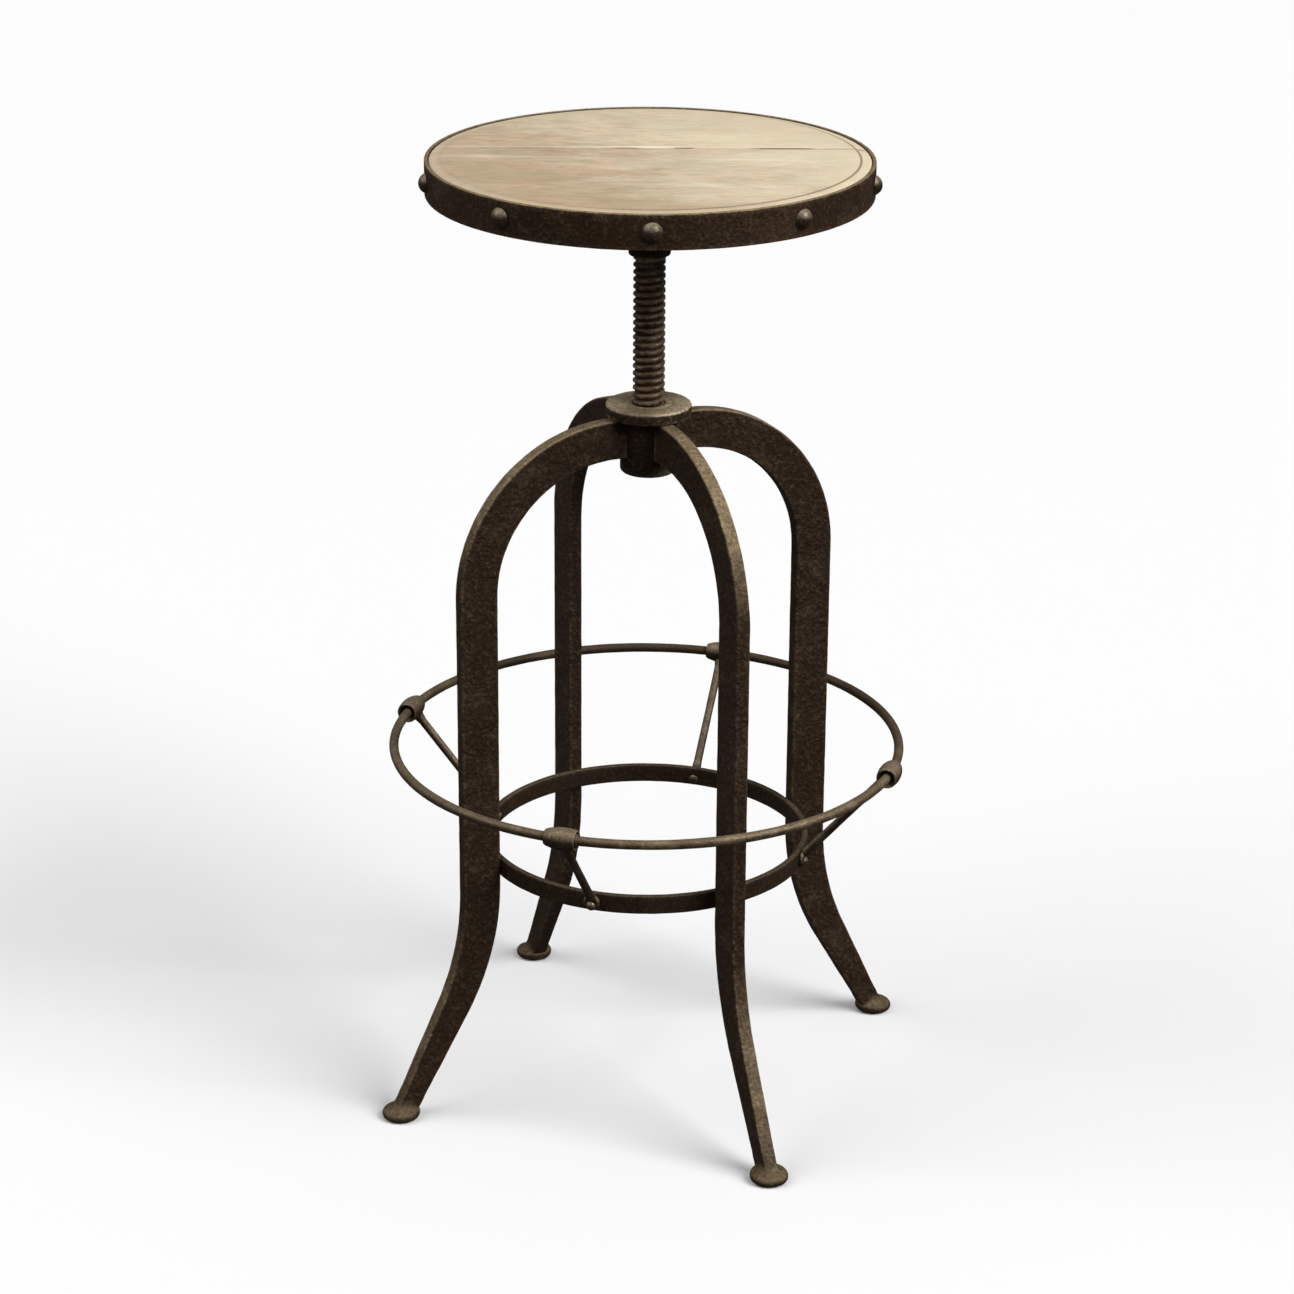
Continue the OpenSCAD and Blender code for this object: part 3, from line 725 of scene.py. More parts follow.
# %% Seat boards
wood_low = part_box("seat_board_front")[0].z
wood_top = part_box("seat_board_front")[1].z
EASED_DROP = 1.6 * MM
GROOVE = 0.12 * MM
HALF_SAW_CUT = 0.08 * MM


def seat_disc(name):
    flat_end = wood_radius - EASED_WIDTH
    outline = [
        (0, wood_low),
        (wood_radius - 1 * MM, wood_low),
        (wood_radius - 0.3 * MM, wood_low + 1 * MM),
    ]
    outline += arc(wood_radius - 1.8 * MM, wood_top - EASED_DROP - 1.2 * MM, 1.5 * MM, 0, 62, 6)
    outline += [
        (flat_end + 5 * MM, wood_top - 0.95 * MM),
        (flat_end + 1.6 * MM, wood_top - 0.45 * MM),
        (flat_end + 0.5 * MM, wood_top - 0.35 * MM),
        (flat_end, wood_top - GROOVE - 0.25 * MM),
        (flat_end - 0.5 * MM, wood_top - 0.12 * MM),
        (flat_end - 1.6 * MM, wood_top),
        (0, wood_top),
    ]
    return turned(name, outline, 240)


def cut_board(piece, keep_back):
    """Keeps the part of the disc on one side of the joint and eases the cut's top edge."""
    across = Vector((-math.sin(SEAT_TURN), math.cos(SEAT_TURN), 0))
    cut = BOARD_JOINT + (HALF_SAW_CUT if keep_back else -HALF_SAW_CUT)
    edit(piece)
    bpy.ops.mesh.select_all(action="SELECT")
    bpy.ops.mesh.bisect(
        plane_co=across * cut, plane_no=across,
        use_fill=True, clear_inner=keep_back, clear_outer=not keep_back,
    )
    bpy.ops.mesh.select_all(action="DESELECT")
    bpy.ops.mesh.select_mode(type="EDGE")

    def on_lip(middle):
        return abs(middle.dot(across) - cut) < 0.01 * MM and middle.z > wood_top - 1 * MM

    lip = pick(piece, on_lip, "edges")
    bpy.ops.mesh.bevel(offset=0.5 * MM, segments=3)
    leave()
    print(piece.name, "edges on the lip", lip)


for board, keep_back in (("seat_board_front", False), ("seat_board_back", True)):
    disc = seat_disc(board + "_wood")
    cut_board(disc, keep_back)
    finish(disc, board, "seat_and_screw", "seat_wood", angle=25)

# %% [markdown]
# ## The iron band
#
# The band is a flat bar bent round the wood and welded. A stretched tube primitive would have
# knife edges, and real bar never has. So its section is drawn with rounded corners and spun,
# with enough points up its height for the hammer to leave shallow waves in it.

# %% Seat band
band_low, band_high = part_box("seat_band")
band_outer = band_high.x
BAND_WALL = 3 * MM
HAMMER_ROOM = 0.12 * MM


def bar_section(inner, outer, low, high, round_outer, round_inner, rows):
    """A closed outline of a flat bar with rounded corners and extra points up its outer side."""
    a, b = round_outer, round_inner
    points = arc(outer - a, low + a, a, -90, 0, 4)
    points += [(outer, low + a + (high - low - 2 * a) * i / rows) for i in range(1, rows)]
    points += arc(outer - a, high - a, a, 0, 90, 4)
    points += arc(inner + b, high - b, b, 90, 180, 3)
    points += [(inner, high - b - (high - low - 2 * b) * i / 4) for i in range(1, 4)]
    points += arc(inner + b, low + b, b, 180, 270, 3)
    return points + points[:1]


band_outline = bar_section(
    band_outer - BAND_WALL, band_outer - HAMMER_ROOM,
    band_low.z + 0.1 * MM, band_high.z - 0.1 * MM,
    0.9 * MM, 0.5 * MM, 9,
)
band = turned("iron_band", band_outline, 300)
hammer(band, 0.012, 0.22 * MM)
finish(band, "seat_band", "seat_and_screw", "dark_iron", band_iron)

# %% [markdown]
# ## The dome rivets
#
# Nine rivets hold the band. A rivet is turned once, standing up: a shank, the flat under the
# head, and a dome that is a little flatter than half a ball. It is laid over, moved out to the
# band and copied round the seat, and the nine are joined, since they share one name.

# %% Band rivets
RIVET_HEAD = 8 * MM
RIVET_DOME = 6 * MM
RIVET_LENGTH = 24 * MM
FIRST_RIVET = -71


def dome_outline(radius, height, shank, length, steps=10):
    """A rivet from the end of its shank to the top of its dome; the edge of the dome is eased."""
    ball = (radius * radius + height * height) / (2 * height)
    tilt = math.degrees(math.asin(min(1, radius / ball)))
    tilt = tilt if height <= radius else 180 - tilt
    cap = arc(0, height - ball, ball, 90 - tilt + 5, 90, steps)
    cap[-1] = (0, height)
    return [
        (0, -length), (shank * 0.8, -length), (shank, -length + shank * 0.3), (shank, 0.02 * MM),
        (radius - 0.4 * MM, 0.02 * MM), (radius, 0.35 * MM),
    ] + cap


rivet_outline = dome_outline(RIVET_HEAD, RIVET_DOME - 0.15 * MM, 2.5 * MM, RIVET_LENGTH)
rivet = turned("band_rivet", rivet_outline, 40)
rivet_reach = band_outer + 0.05 * MM
place(rivet, [("Y", 90), ("Z", FIRST_RIVET)], (
    rivet_reach * math.cos(math.radians(FIRST_RIVET)),
    rivet_reach * math.sin(math.radians(FIRST_RIVET)),
    (band_low.z + band_high.z) / 2,
))
rivets = join(copies_around(rivet, 9, "band_rivet"), "dome_rivets")
hammer(rivets, 0.006, 0.25 * MM)
finish(rivets, "band_rivets", "seat_and_screw", "plain_steel")

# %% [markdown]
# ## The seat bracket
#
# Under the wood is a cast-iron plate with a boss for the screw and four webs that stiffen it.
# A casting has no sharp inside corners, because sand would not hold them. Bevelling every meeting
# of plate, boss and webs would be slow work. Instead the rough shapes are joined, a voxel
# remesh makes them one skin, and smoothing rounds it, which gives a casting's soft corners.

# %% Seat bracket
plate_low, plate_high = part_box("seat_bracket")
SCREW_RADIUS = 13 * MM
SPIGOT_RADIUS = 10 * MM
BOSS_RADIUS = 17 * MM
PLATE_RADIUS = 75 * MM
PLATE_THICKNESS = 5 * MM
WEB_REACH = 25.5 * MM
WEB_THICKNESS = 6 * MM
plate_z = plate_high.z - PLATE_THICKNESS


def cast_together(piece, voxel):
    """Makes joined rough shapes one skin and rounds its corners."""
    modify(piece, "REMESH", mode="VOXEL", voxel_size=voxel, use_smooth_shade=True)
    modify(piece, "SMOOTH", factor=0.5, iterations=3)


boss_bore = SPIGOT_RADIUS + 0.05 * MM
bracket = turned("seat_casting", [
    (boss_bore, plate_low.z), (BOSS_RADIUS - 1 * MM, plate_low.z),
    (BOSS_RADIUS, plate_low.z + 1 * MM), (BOSS_RADIUS, plate_z - 6 * MM),
    (BOSS_RADIUS + 2 * MM, plate_z - 2 * MM), (BOSS_RADIUS + 6 * MM, plate_z),
    (PLATE_RADIUS - 1 * MM, plate_z), (PLATE_RADIUS, plate_z + 1 * MM),
    (PLATE_RADIUS, plate_high.z), (boss_bore, plate_high.z), (boss_bore, plate_low.z),
], 128)
web_depth = (plate_z - plate_low.z) * 0.7
web = block(
    "web",
    (BOSS_RADIUS + WEB_REACH / 2 - 1 * MM, 0, plate_z - web_depth / 2 + 1 * MM),
    (WEB_REACH + 2 * MM, WEB_THICKNESS, web_depth + 2 * MM),
)
edit(web)
bpy.ops.mesh.select_all(action="SELECT")
bpy.ops.mesh.bisect(
    plane_co=(BOSS_RADIUS - 1 * MM, 0, plate_z - web_depth),
    plane_no=(web_depth, 0, -WEB_REACH), use_fill=True, clear_outer=True,
)
leave()
webs = copies_around(web, 4, "web")
bracket = join([bracket] + webs, "seat_casting")
place(bracket, [("Z", SEAT_DEGREES)])
cast_together(bracket, 1.0 * MM)
finish(bracket, "seat_bracket", "seat_and_screw", "dark_iron", angle=80)

# %% [markdown]
# ## Wood screws and the cross pin
#
# Four dome-headed wood screws hold the plate, and a pin through the boss locks the lift screw.
# Each screw has a driver slot. It is cut as a smith would: a thin bar is placed where the slot
# goes and subtracted with a boolean modifier. The pin's ends are domed from its making.

# %% Wood screws and cross pin
SCREW_CIRCLE = 62 * MM
SCREW_DOME = 3.4 * MM

wood_screw = turned("wood_screw", dome_outline(5 * MM, SCREW_DOME, 2.5 * MM, 21.5 * MM, 8), 32)
slot_bar = block("slot_bar", (0, 0, SCREW_DOME), (12 * MM, 1.3 * MM, 3 * MM))
modify(wood_screw, "BOOLEAN", operation="DIFFERENCE", object=slot_bar, solver="EXACT")
bpy.data.objects.remove(slot_bar)
place(wood_screw, [("X", 180), ("Z", 30)], (SCREW_CIRCLE, 0, plate_z - 0.05 * MM))
place(wood_screw, [("Z", 45 + SEAT_DEGREES)])
screws = join(copies_around(wood_screw, 4, "wood_screw"), "bracket_wood_screws")
finish(screws, "bracket_screws", "seat_and_screw", "plain_steel")

PIN_HALF = 16.3 * MM
pin_z = plate_low.z + 10 * MM
pin_end = [(3.0, -1.1), (2.6, -0.2), (1.6, 0.3), (0.0, 0.4)]
upper_end = [(r * MM, PIN_HALF + z * MM) for r, z in pin_end]
lower_end = [(r, -z) for r, z in reversed(upper_end)]
pin = turned("cross_pin", lower_end + upper_end, 32)
place(pin, [("X", 90), ("Z", SEAT_DEGREES)], (0, 0, pin_z))
finish(pin, "bracket_pin", "seat_and_screw", "plain_steel")

# %% [markdown]
# ## The lift screw
#
# This is the piece that the frame can't show: its ridges are plain rings, and a real thread is
# one ridge that climbs. The Screw modifier makes just that. One pitch of the thread's outline
# is drawn as a chain of edges, turned once round the axis while it climbs one pitch, and
# repeated. The ends are then cut flat and drawn out to plain necks. A turned collar with its
# spigot, which goes up into the boss, is joined on with a boolean.

# %% Lift screw
screw_low, screw_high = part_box("lift_screw")
PITCH = 6 * MM
THREAD_DEPTH = 1.7 * MM
ROOT = SCREW_RADIUS - THREAD_DEPTH
thread_low = screw_low.z + 2.5 * MM
thread_high = plate_low.z - 4 * MM
thread_turns = math.ceil((thread_high - thread_low) / PITCH) + 2


def thread_outline(z):
    """One pitch of the thread from z up: root, flank, rounded crest, flank, root."""
    shares = [
        # radius, and height as a share of the pitch
        (ROOT, 0.0),
        (ROOT + 0.25 * MM, 0.03),
        (SCREW_RADIUS - 0.35 * MM, 0.14),
        (SCREW_RADIUS - 0.08 * MM, 0.18),
        (SCREW_RADIUS, 0.24),
        (SCREW_RADIUS, 0.44),
        (SCREW_RADIUS - 0.08 * MM, 0.50),
        (SCREW_RADIUS - 0.35 * MM, 0.54),
        (ROOT + 0.25 * MM, 0.66),
        (ROOT, 0.69),
        (ROOT, 1.0),
    ]
    return [(radius, z + share * PITCH) for radius, share in shares]


def cut_flat(piece, z, keep_above):
    """Cuts the piece at a height and closes the cut with a face."""
    edit(piece)
    bpy.ops.mesh.select_all(action="SELECT")
    bpy.ops.mesh.bisect(
        plane_co=(0, 0, z), plane_no=(0, 0, 1),
        use_fill=True, clear_inner=keep_above, clear_outer=not keep_above,
    )
    leave()


def draw_out(piece, z_face, steps):
    """Extrudes the flat face at a height: steps of (scale of the face, rise)."""
    edit(piece)
    pick(piece, lambda m: abs(m.z - z_face) < 0.01 * MM)
    for scale, rise in steps:
        bpy.ops.mesh.extrude_region_move(TRANSFORM_OT_translate={"value": (0, 0, rise)})
        bpy.ops.transform.resize(value=(scale, scale, 1), center_override=(0, 0, 0))
    leave()


screw = chain("threaded_post", thread_outline(thread_low - PITCH))
leave()
modify(
    screw, "SCREW", axis="Z", angle=2 * math.pi, screw_offset=PITCH, iterations=thread_turns,
    steps=56, render_steps=56, use_merge_vertices=True, merge_threshold=0.005 * MM,
    use_smooth_shade=True,
)
cut_flat(screw, thread_low, keep_above=True)
cut_flat(screw, thread_high, keep_above=False)
edit(screw)
bpy.ops.mesh.select_all(action="SELECT")
bpy.ops.mesh.normals_make_consistent(inside=False)
leave()
neck = (ROOT - 0.6 * MM) / SCREW_RADIUS
draw_out(screw, thread_high, [(neck, 0.1 * MM), (1, 1.2 * MM)])
draw_out(screw, thread_low, [(0.93, -1.2 * MM), (0.95, -1.3 * MM)])
collar = turned("screw_collar", [
    (0, thread_high), (ROOT - 0.2 * MM, thread_high),
    (SCREW_RADIUS - 0.2 * MM, plate_low.z - 3 * MM),
    (SCREW_RADIUS, plate_low.z - 2.6 * MM), (SCREW_RADIUS, plate_low.z - 0.6 * MM),
    (SCREW_RADIUS - 0.4 * MM, plate_low.z - 0.1 * MM),
    (SPIGOT_RADIUS - 0.1 * MM, plate_low.z - 0.05 * MM), (SPIGOT_RADIUS - 0.1 * MM, screw_high.z - 1 * MM),
    (SPIGOT_RADIUS - 1.1 * MM, screw_high.z), (0, screw_high.z),
], 56)
modify(screw, "BOOLEAN", operation="UNION", object=collar, solver="EXACT")
bpy.data.objects.remove(collar)
finish(screw, "lift_screw", "seat_and_screw", "screw_steel", angle=50)

# %% [markdown]
# ## Stop washer and bolt
#
# A washer under the end of the screw keeps it from being wound out of the hub, and a hexagon
# bolt holds the washer. They are seen only from below. The washer is turned, and the bolt's
# head is a six-sided cylinder whose corners are taken off by a turned cone, as on a real bolt.

# %% Stop washer and bolt
washer_low, washer_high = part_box("stop_washer")
washer_radius = washer_high.x
BOLT_RADIUS = 4 * MM
washer = turned("stop_washer_steel", [
    (BOLT_RADIUS + 0.06 * MM, washer_low.z), (washer_radius - 0.7 * MM, washer_low.z),
    (washer_radius, washer_low.z + 0.7 * MM), (washer_radius, washer_high.z - 0.7 * MM),
    (washer_radius - 0.7 * MM, washer_high.z), (BOLT_RADIUS + 0.06 * MM, washer_high.z),
    (BOLT_RADIUS + 0.06 * MM, washer_low.z),
], 72)
finish(washer, "stop_washer", "lift_washer", "plain_steel")

bolt_low, bolt_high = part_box("stop_bolt")
BOLT_HEAD = 5.2 * MM
BOLT_ACROSS = 12.8 * MM
head_radius = BOLT_ACROSS / 2 / math.cos(math.radians(30))
deselect_everything()
bpy.ops.mesh.primitive_cylinder_add(
    vertices=6, radius=head_radius, depth=BOLT_HEAD, location=(0, 0, bolt_low.z + BOLT_HEAD / 2)
)
bolt = name_it("hexagon_bolt")
settle()
head_top = bolt_low.z + BOLT_HEAD
cone = turned("bolt_cone", [
    (0, bolt_low.z - 1 * MM), (head_radius - 1.6 * MM, bolt_low.z - 0.6 * MM),
    (head_radius + 0.3 * MM, bolt_low.z + 0.9 * MM),
    (head_radius + 0.3 * MM, head_top + 1 * MM), (0, head_top + 1 * MM),
], 48)
modify(bolt, "BOOLEAN", operation="INTERSECT", object=cone, solver="EXACT")
bpy.data.objects.remove(cone)
shank = turned("bolt_shank", [
    (0, head_top - 0.5 * MM), (BOLT_RADIUS, head_top - 0.5 * MM),
    (BOLT_RADIUS, bolt_high.z - 0.8 * MM), (BOLT_RADIUS - 0.8 * MM, bolt_high.z), (0, bolt_high.z),
], 32)
modify(bolt, "BOOLEAN", operation="UNION", object=shank, solver="EXACT")
bpy.data.objects.remove(shank)
place(bolt, [("Z", SEAT_DEGREES)])
finish(bolt, "stop_bolt", "seat_and_screw", "plain_steel", angle=30)

# %% [markdown]
# ## The hub
#
# The hub is a casting that was faced on a lathe: a wide flange whose top carries a faint turned
# ring, a body with a rounded lower edge, a plain bore and an open sleeve below. It is turned
# from one closed outline. Extra points along the long lines give the hammer pattern something
# to move, so that the outline wavers a little, as cast iron does.

# %% Hub
hub_low, hub_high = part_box("hub")
FLANGE = 10 * MM
HUB_RADIUS = 23 * MM
SLEEVE_RADIUS = 18 * MM
SLEEVE_DEPTH = 26 * MM
BORE_RADIUS = SCREW_RADIUS + 0.08 * MM
flange_radius = hub_high.x - 0.15 * MM
flange_low = hub_high.z - FLANGE


def line_points(start, stop, steps):
    """Points on a straight line, without its two ends."""
    (r0, z0), (r1, z1) = start, stop
    return [(r0 + (r1 - r0) * i / steps, z0 + (z1 - z0) * i / steps) for i in range(1, steps)]


TOP_ROUND = 2.2 * MM
UNDER_ROUND = 1.8 * MM
INNER_ROUND = 2 * MM
FOOT_ROUND = 3.5 * MM
top = hub_high.z - 0.1 * MM
body_low = hub_low.z + 0.1 * MM
outline = [
    (BORE_RADIUS, top - 0.9 * MM), (BORE_RADIUS + 0.8 * MM, top - 0.1 * MM), (18.2 * MM, top),
    (18.8 * MM, top - 0.35 * MM), (19.4 * MM, top - 0.35 * MM), (20 * MM, top),
]
outline += line_points((20 * MM, top), (flange_radius - TOP_ROUND, top), 5)
outline += arc(flange_radius - TOP_ROUND, top - TOP_ROUND, TOP_ROUND, 90, 0, 6)
outline += line_points((flange_radius, top - TOP_ROUND), (flange_radius, flange_low + UNDER_ROUND), 3)
outline += arc(flange_radius - UNDER_ROUND, flange_low + UNDER_ROUND, UNDER_ROUND, 0, -90, 5)
outline += line_points(
    (flange_radius - UNDER_ROUND, flange_low), (HUB_RADIUS + INNER_ROUND, flange_low), 3
)
outline += arc(HUB_RADIUS + INNER_ROUND, flange_low - INNER_ROUND, INNER_ROUND, 90, 180, 5)
outline += line_points(
    (HUB_RADIUS, flange_low - INNER_ROUND), (HUB_RADIUS, body_low + FOOT_ROUND), 12
)
outline += arc(HUB_RADIUS - FOOT_ROUND, body_low + FOOT_ROUND, FOOT_ROUND, 0, -90, 7)
outline += [
    (SLEEVE_RADIUS + 0.6 * MM, body_low), (SLEEVE_RADIUS, hub_low.z + 0.7 * MM),
    (SLEEVE_RADIUS, hub_low.z + SLEEVE_DEPTH), (BORE_RADIUS, hub_low.z + SLEEVE_DEPTH), outline[0],
]
hub = turned("flanged_hub", outline, 144)
hammer(hub, 0.010, 0.22 * MM)
finish(hub, "hub", "base", "dark_iron", hub_iron)

# %% [markdown]
# ## The legs
#
# A leg is one flat bar. It leaves the hub level, bends down through a quarter circle, runs
# straight, bends outwards, is drawn out thinner to the ankle and is upset into a round foot.
# It could be cut from a curve with a bevel, but a curve can't change its section into a foot.
# So the bar's end face is pushed along the way the smith worked: extruded, spun round the
# bend, tilted and narrowed step by step, and swelled into a circle at the foot.

# %% Leg sizes
leg_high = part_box("leg_back_right")[1]
LEG_WIDTH = 33 * MM
LEG_THICKNESS = 12 * MM
LEG_INSET = 137 * MM
ARCH_RADIUS = 102 * MM
SPLAY_HEIGHT = 197 * MM
SPLAY_RADIUS = 225 * MM
SPLAY_ANGLE = math.radians(28)
ANKLE_WIDTH = 19 * MM
ANKLE_Z = 22 * MM
STEP = 3 * MM
START_X = 22.2 * MM
HAMMER_SLACK = 0.3 * MM

leg_middle = LEG_INSET + LEG_WIDTH / 2
arch_x = LEG_INSET - ARCH_RADIUS
arch_z = leg_high.z - ARCH_RADIUS - LEG_WIDTH
bend_length = SPLAY_RADIUS * SPLAY_ANGLE
bend_x = leg_middle + SPLAY_RADIUS * (1 - math.cos(SPLAY_ANGLE))
bend_z = SPLAY_HEIGHT - SPLAY_RADIUS * math.sin(SPLAY_ANGLE)
foot_x = bend_x + bend_z * math.tan(SPLAY_ANGLE)
splay_length = bend_length + (bend_z - ANKLE_Z) / math.cos(SPLAY_ANGLE)
print("arch springs at", round(arch_z / MM, 2), "mm, foot at", round(foot_x / MM, 2), "mm")

# %% [markdown]
# ### Working the end face
#
# The leg grows from its selected end face, so each step of the work is a small function. One
# pushes the face on, one tilts it and one narrows it. Two more say where the bar's middle lies
# below the straight, how far it leans, and how wide it is there.

# %% Leg operators
def end_face(piece):
    """The points of the selected end face, in edit mode."""
    mesh = bmesh.from_edit_mesh(piece.data)
    return [vertex.co.copy() for vertex in mesh.verts if vertex.select]


def push(piece, target):
    """Extrudes the end face so that its middle comes to the target."""
    step = Vector(target) - middle_of(end_face(piece))
    bpy.ops.mesh.extrude_region_move(TRANSFORM_OT_translate={"value": step})


def tilt(piece, angle):
    """Tilts the end face in the leg's plane about its own middle."""
    middle = middle_of(end_face(piece))
    bpy.ops.transform.rotate(value=angle, orient_axis="Y", center_override=middle)


def swell(piece, factor):
    """Scales the end face in the leg's plane, which changes the bar's width only."""
    bpy.ops.transform.resize(value=(factor, 1, factor), center_override=middle_of(end_face(piece)))


def lower_leg(s):
    """Middle of the bar at a distance below the bend's start, and its lean."""
    if s <= bend_length:
        lean = s / SPLAY_RADIUS
        return (
            leg_middle + SPLAY_RADIUS * (1 - math.cos(lean)),
            SPLAY_HEIGHT - SPLAY_RADIUS * math.sin(lean),
            lean,
        )
    run = s - bend_length
    return bend_x + run * math.sin(SPLAY_ANGLE), bend_z - run * math.cos(SPLAY_ANGLE), SPLAY_ANGLE


def bar_width(s):
    return LEG_WIDTH - (LEG_WIDTH - ANKLE_WIDTH) * (s / splay_length) ** 1.4


# %% [markdown]
# ### The bar of one leg
#
# The bar starts inside the hub as a rectangle with rounded corners, cut from a small grid. It
# is pushed out level, spun through the arch, pushed down the straight and led round the lower
# bend to the ankle. The steps are short all the way, so that the hammer has points to move.

# %% One leg
centre_z = leg_high.z - LEG_WIDTH / 2
deselect_everything()
bpy.ops.mesh.primitive_grid_add(
    x_subdivisions=11, y_subdivisions=4, size=1, location=(START_X, 0, centre_z),
    rotation=(0, math.pi / 2, 0),
)
leg = name_it("arched_leg")
leg.scale = (LEG_WIDTH - HAMMER_SLACK, LEG_THICKNESS - HAMMER_SLACK, 1)
settle()
edit(leg)
bpy.ops.mesh.select_all(action="SELECT")
bpy.ops.mesh.dissolve_faces()
bpy.ops.mesh.select_mode(type="VERT")
bpy.ops.mesh.select_all(action="DESELECT")
corner_y = LEG_THICKNESS / 2 - 1 * MM
corner_z = LEG_WIDTH / 2 - 1 * MM
pick(leg, lambda m: abs(m.y) > corner_y and abs(m.z - centre_z) > corner_z, "verts")
bpy.ops.mesh.bevel(offset=1.7 * MM, segments=4, affect="VERTICES")
bpy.ops.mesh.select_all(action="SELECT")
bpy.ops.mesh.select_mode(type="FACE")
for i in range(1, 5):
    push(leg, (START_X + (arch_x - START_X) * i / 4, 0, centre_z))
bpy.ops.mesh.spin(steps=62, angle=math.pi / 2, center=(arch_x, 0, arch_z), axis=(0, -1, 0))
straight_steps = round((arch_z - SPLAY_HEIGHT) / STEP)
for i in range(1, straight_steps + 1):
    push(leg, (leg_middle, 0, arch_z + (SPLAY_HEIGHT - arch_z) * i / straight_steps))
splay_steps = round(splay_length / STEP)
lean = 0
for i in range(1, splay_steps + 1):
    s_before = splay_length * (i - 1) / splay_steps
    s_now = splay_length * i / splay_steps
    x, z, new_lean = lower_leg(s_now)
    push(leg, (x, 0, z))
    tilt(leg, new_lean - lean)
    swell(leg, bar_width(s_now) / bar_width(s_before))
    lean = new_lean
print("ankle at", [round(c / MM, 2) for c in middle_of(end_face(leg))])
leave()

# %% [markdown]
# ### The foot
#
# Below the ankle the bar was heated and struck on its end, so that it swelled into a round pad
# under a curved neck. Each ring of points is pushed down, turned back towards level, drawn
# towards a circle with the to-sphere operator and scaled to its radius. The rings are close
# together where the neck curves fast. The rim is rounded, and the last face rests on the floor.

# %% Foot
def mean_reach(points):
    """The mean distance of points from their middle."""
    middle = middle_of(points)
    return sum((point - middle).length for point in points) / len(points)


def swell_to(piece, radius):
    """Scales the end face evenly until its points stand at this mean distance from its middle."""
    points = end_face(piece)
    factor = radius / mean_reach(points)
    bpy.ops.transform.resize(value=(factor, factor, factor), center_override=middle_of(points))


ankle_x, ankle_z, lean = lower_leg(splay_length)


def on_ankle(middle):
    """Whether a face's middle lies in the leaning plane of the ankle."""
    x, z = middle.x - ankle_x, middle.z - ankle_z
    off_plane = x * math.sin(SPLAY_ANGLE) - z * math.cos(SPLAY_ANGLE)
    return abs(z) < 6 * MM and abs(off_plane) < 0.01 * MM


edit(leg)
pick(leg, on_ankle)
end_points = end_face(leg)
reach = round(mean_reach(end_points) / MM, 2)
print("end face has", len(end_points), "points, on average", reach, "mm out")
NECK = [
    # height, shift outwards from the leg's line and radius in mm, share of the lean, roundness
    (19.0, 0.0, 9.25, 1.00, 0.03),
    (16.0, 0.0, 9.25, 1.00, 0.06),
    (13.6, 0.0, 9.3, 0.92, 0.12),
    (11.8, 0.1, 9.5, 0.72, 0.22),
    (10.2, 0.4, 10.1, 0.48, 0.40),
    (9.0, 1.1, 11.2, 0.26, 0.65),
    (8.1, 2.1, 12.6, 0.10, 0.88),
    (7.4, 2.9, 14.2, 0.0, 1.00),
    (6.5, 3.0, 15.2, 0.0, 1.00),
    (5.2, 2.6, 15.75, 0.0, 1.00),
    (3.8, 2.0, 15.85, 0.0, 1.00),
    (2.4, 1.3, 15.6, 0.0, 1.00),
    (1.2, 0.65, 14.9, 0.0, 1.00),
    (0.5, 0.27, 14.0, 0.0, 1.00),
    (0.25, 0.13, 12.8, 0.0, 1.00),
]
for height, shift, radius, share, roundness in NECK:
    x = foot_x - height * MM * math.tan(SPLAY_ANGLE) + shift * MM
    push(leg, (x, 0, height * MM))
    tilt(leg, SPLAY_ANGLE * share - lean)
    lean = SPLAY_ANGLE * share
    bpy.ops.transform.tosphere(value=roundness)
    swell_to(leg, radius * MM)
print("foot at", [round(c / MM, 2) for c in middle_of(end_face(leg))])
leave()
hammer(leg, 0.016, 0.45 * MM)
hammer(leg, 0.005, 0.14 * MM)

# %% [markdown]
# ### Four legs
#
# The leg was modelled along the X axis. The real legs stand on the diagonals, and a smith bends
# all four round one former, so the piece is copied and turned, each copy with its own mesh.

# %% Four legs
legs = copies_around(place(leg, [("Z", -45)]), 4, "arched_leg")
corners = ("front_right", "back_right", "back_left", "front_left")
for piece, corner in zip(legs, corners):
    finish(piece, f"leg_{corner}", "base", "dark_iron", angle=60)

# %% [markdown]
# ## The hoop
#
# A flat bar, bent round and riveted to the struts, ties the legs from inside. It has the same
# rounded section as the seat's band, so the same outline is spun again, smaller.

# %% Hoop
hoop_low, hoop_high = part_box("hoop")
HOOP_THICKNESS = 5 * MM
hoop_outline = bar_section(
    hoop_high.x - HOOP_THICKNESS, hoop_high.x - 0.1 * MM,
    hoop_low.z + 0.1 * MM, hoop_high.z - 0.1 * MM,
    1.1 * MM, 1.1 * MM, 5,
)
hoop = turned("flat_hoop", hoop_outline, 240)
hammer(hoop, 0.014, 0.3 * MM)
finish(hoop, "hoop", "base", "dark_iron", hoop_iron)

# %% [markdown]
# ## The foot ring and its ferrule
#
# The foot ring is a round rod whose ends meet inside a short sleeve. A torus primitive would be
# perfectly even, and shoes have made this rod anything but. Its section is spun round the stool
# and then moved a little by a broad cloud pattern, and more finely by a small one.

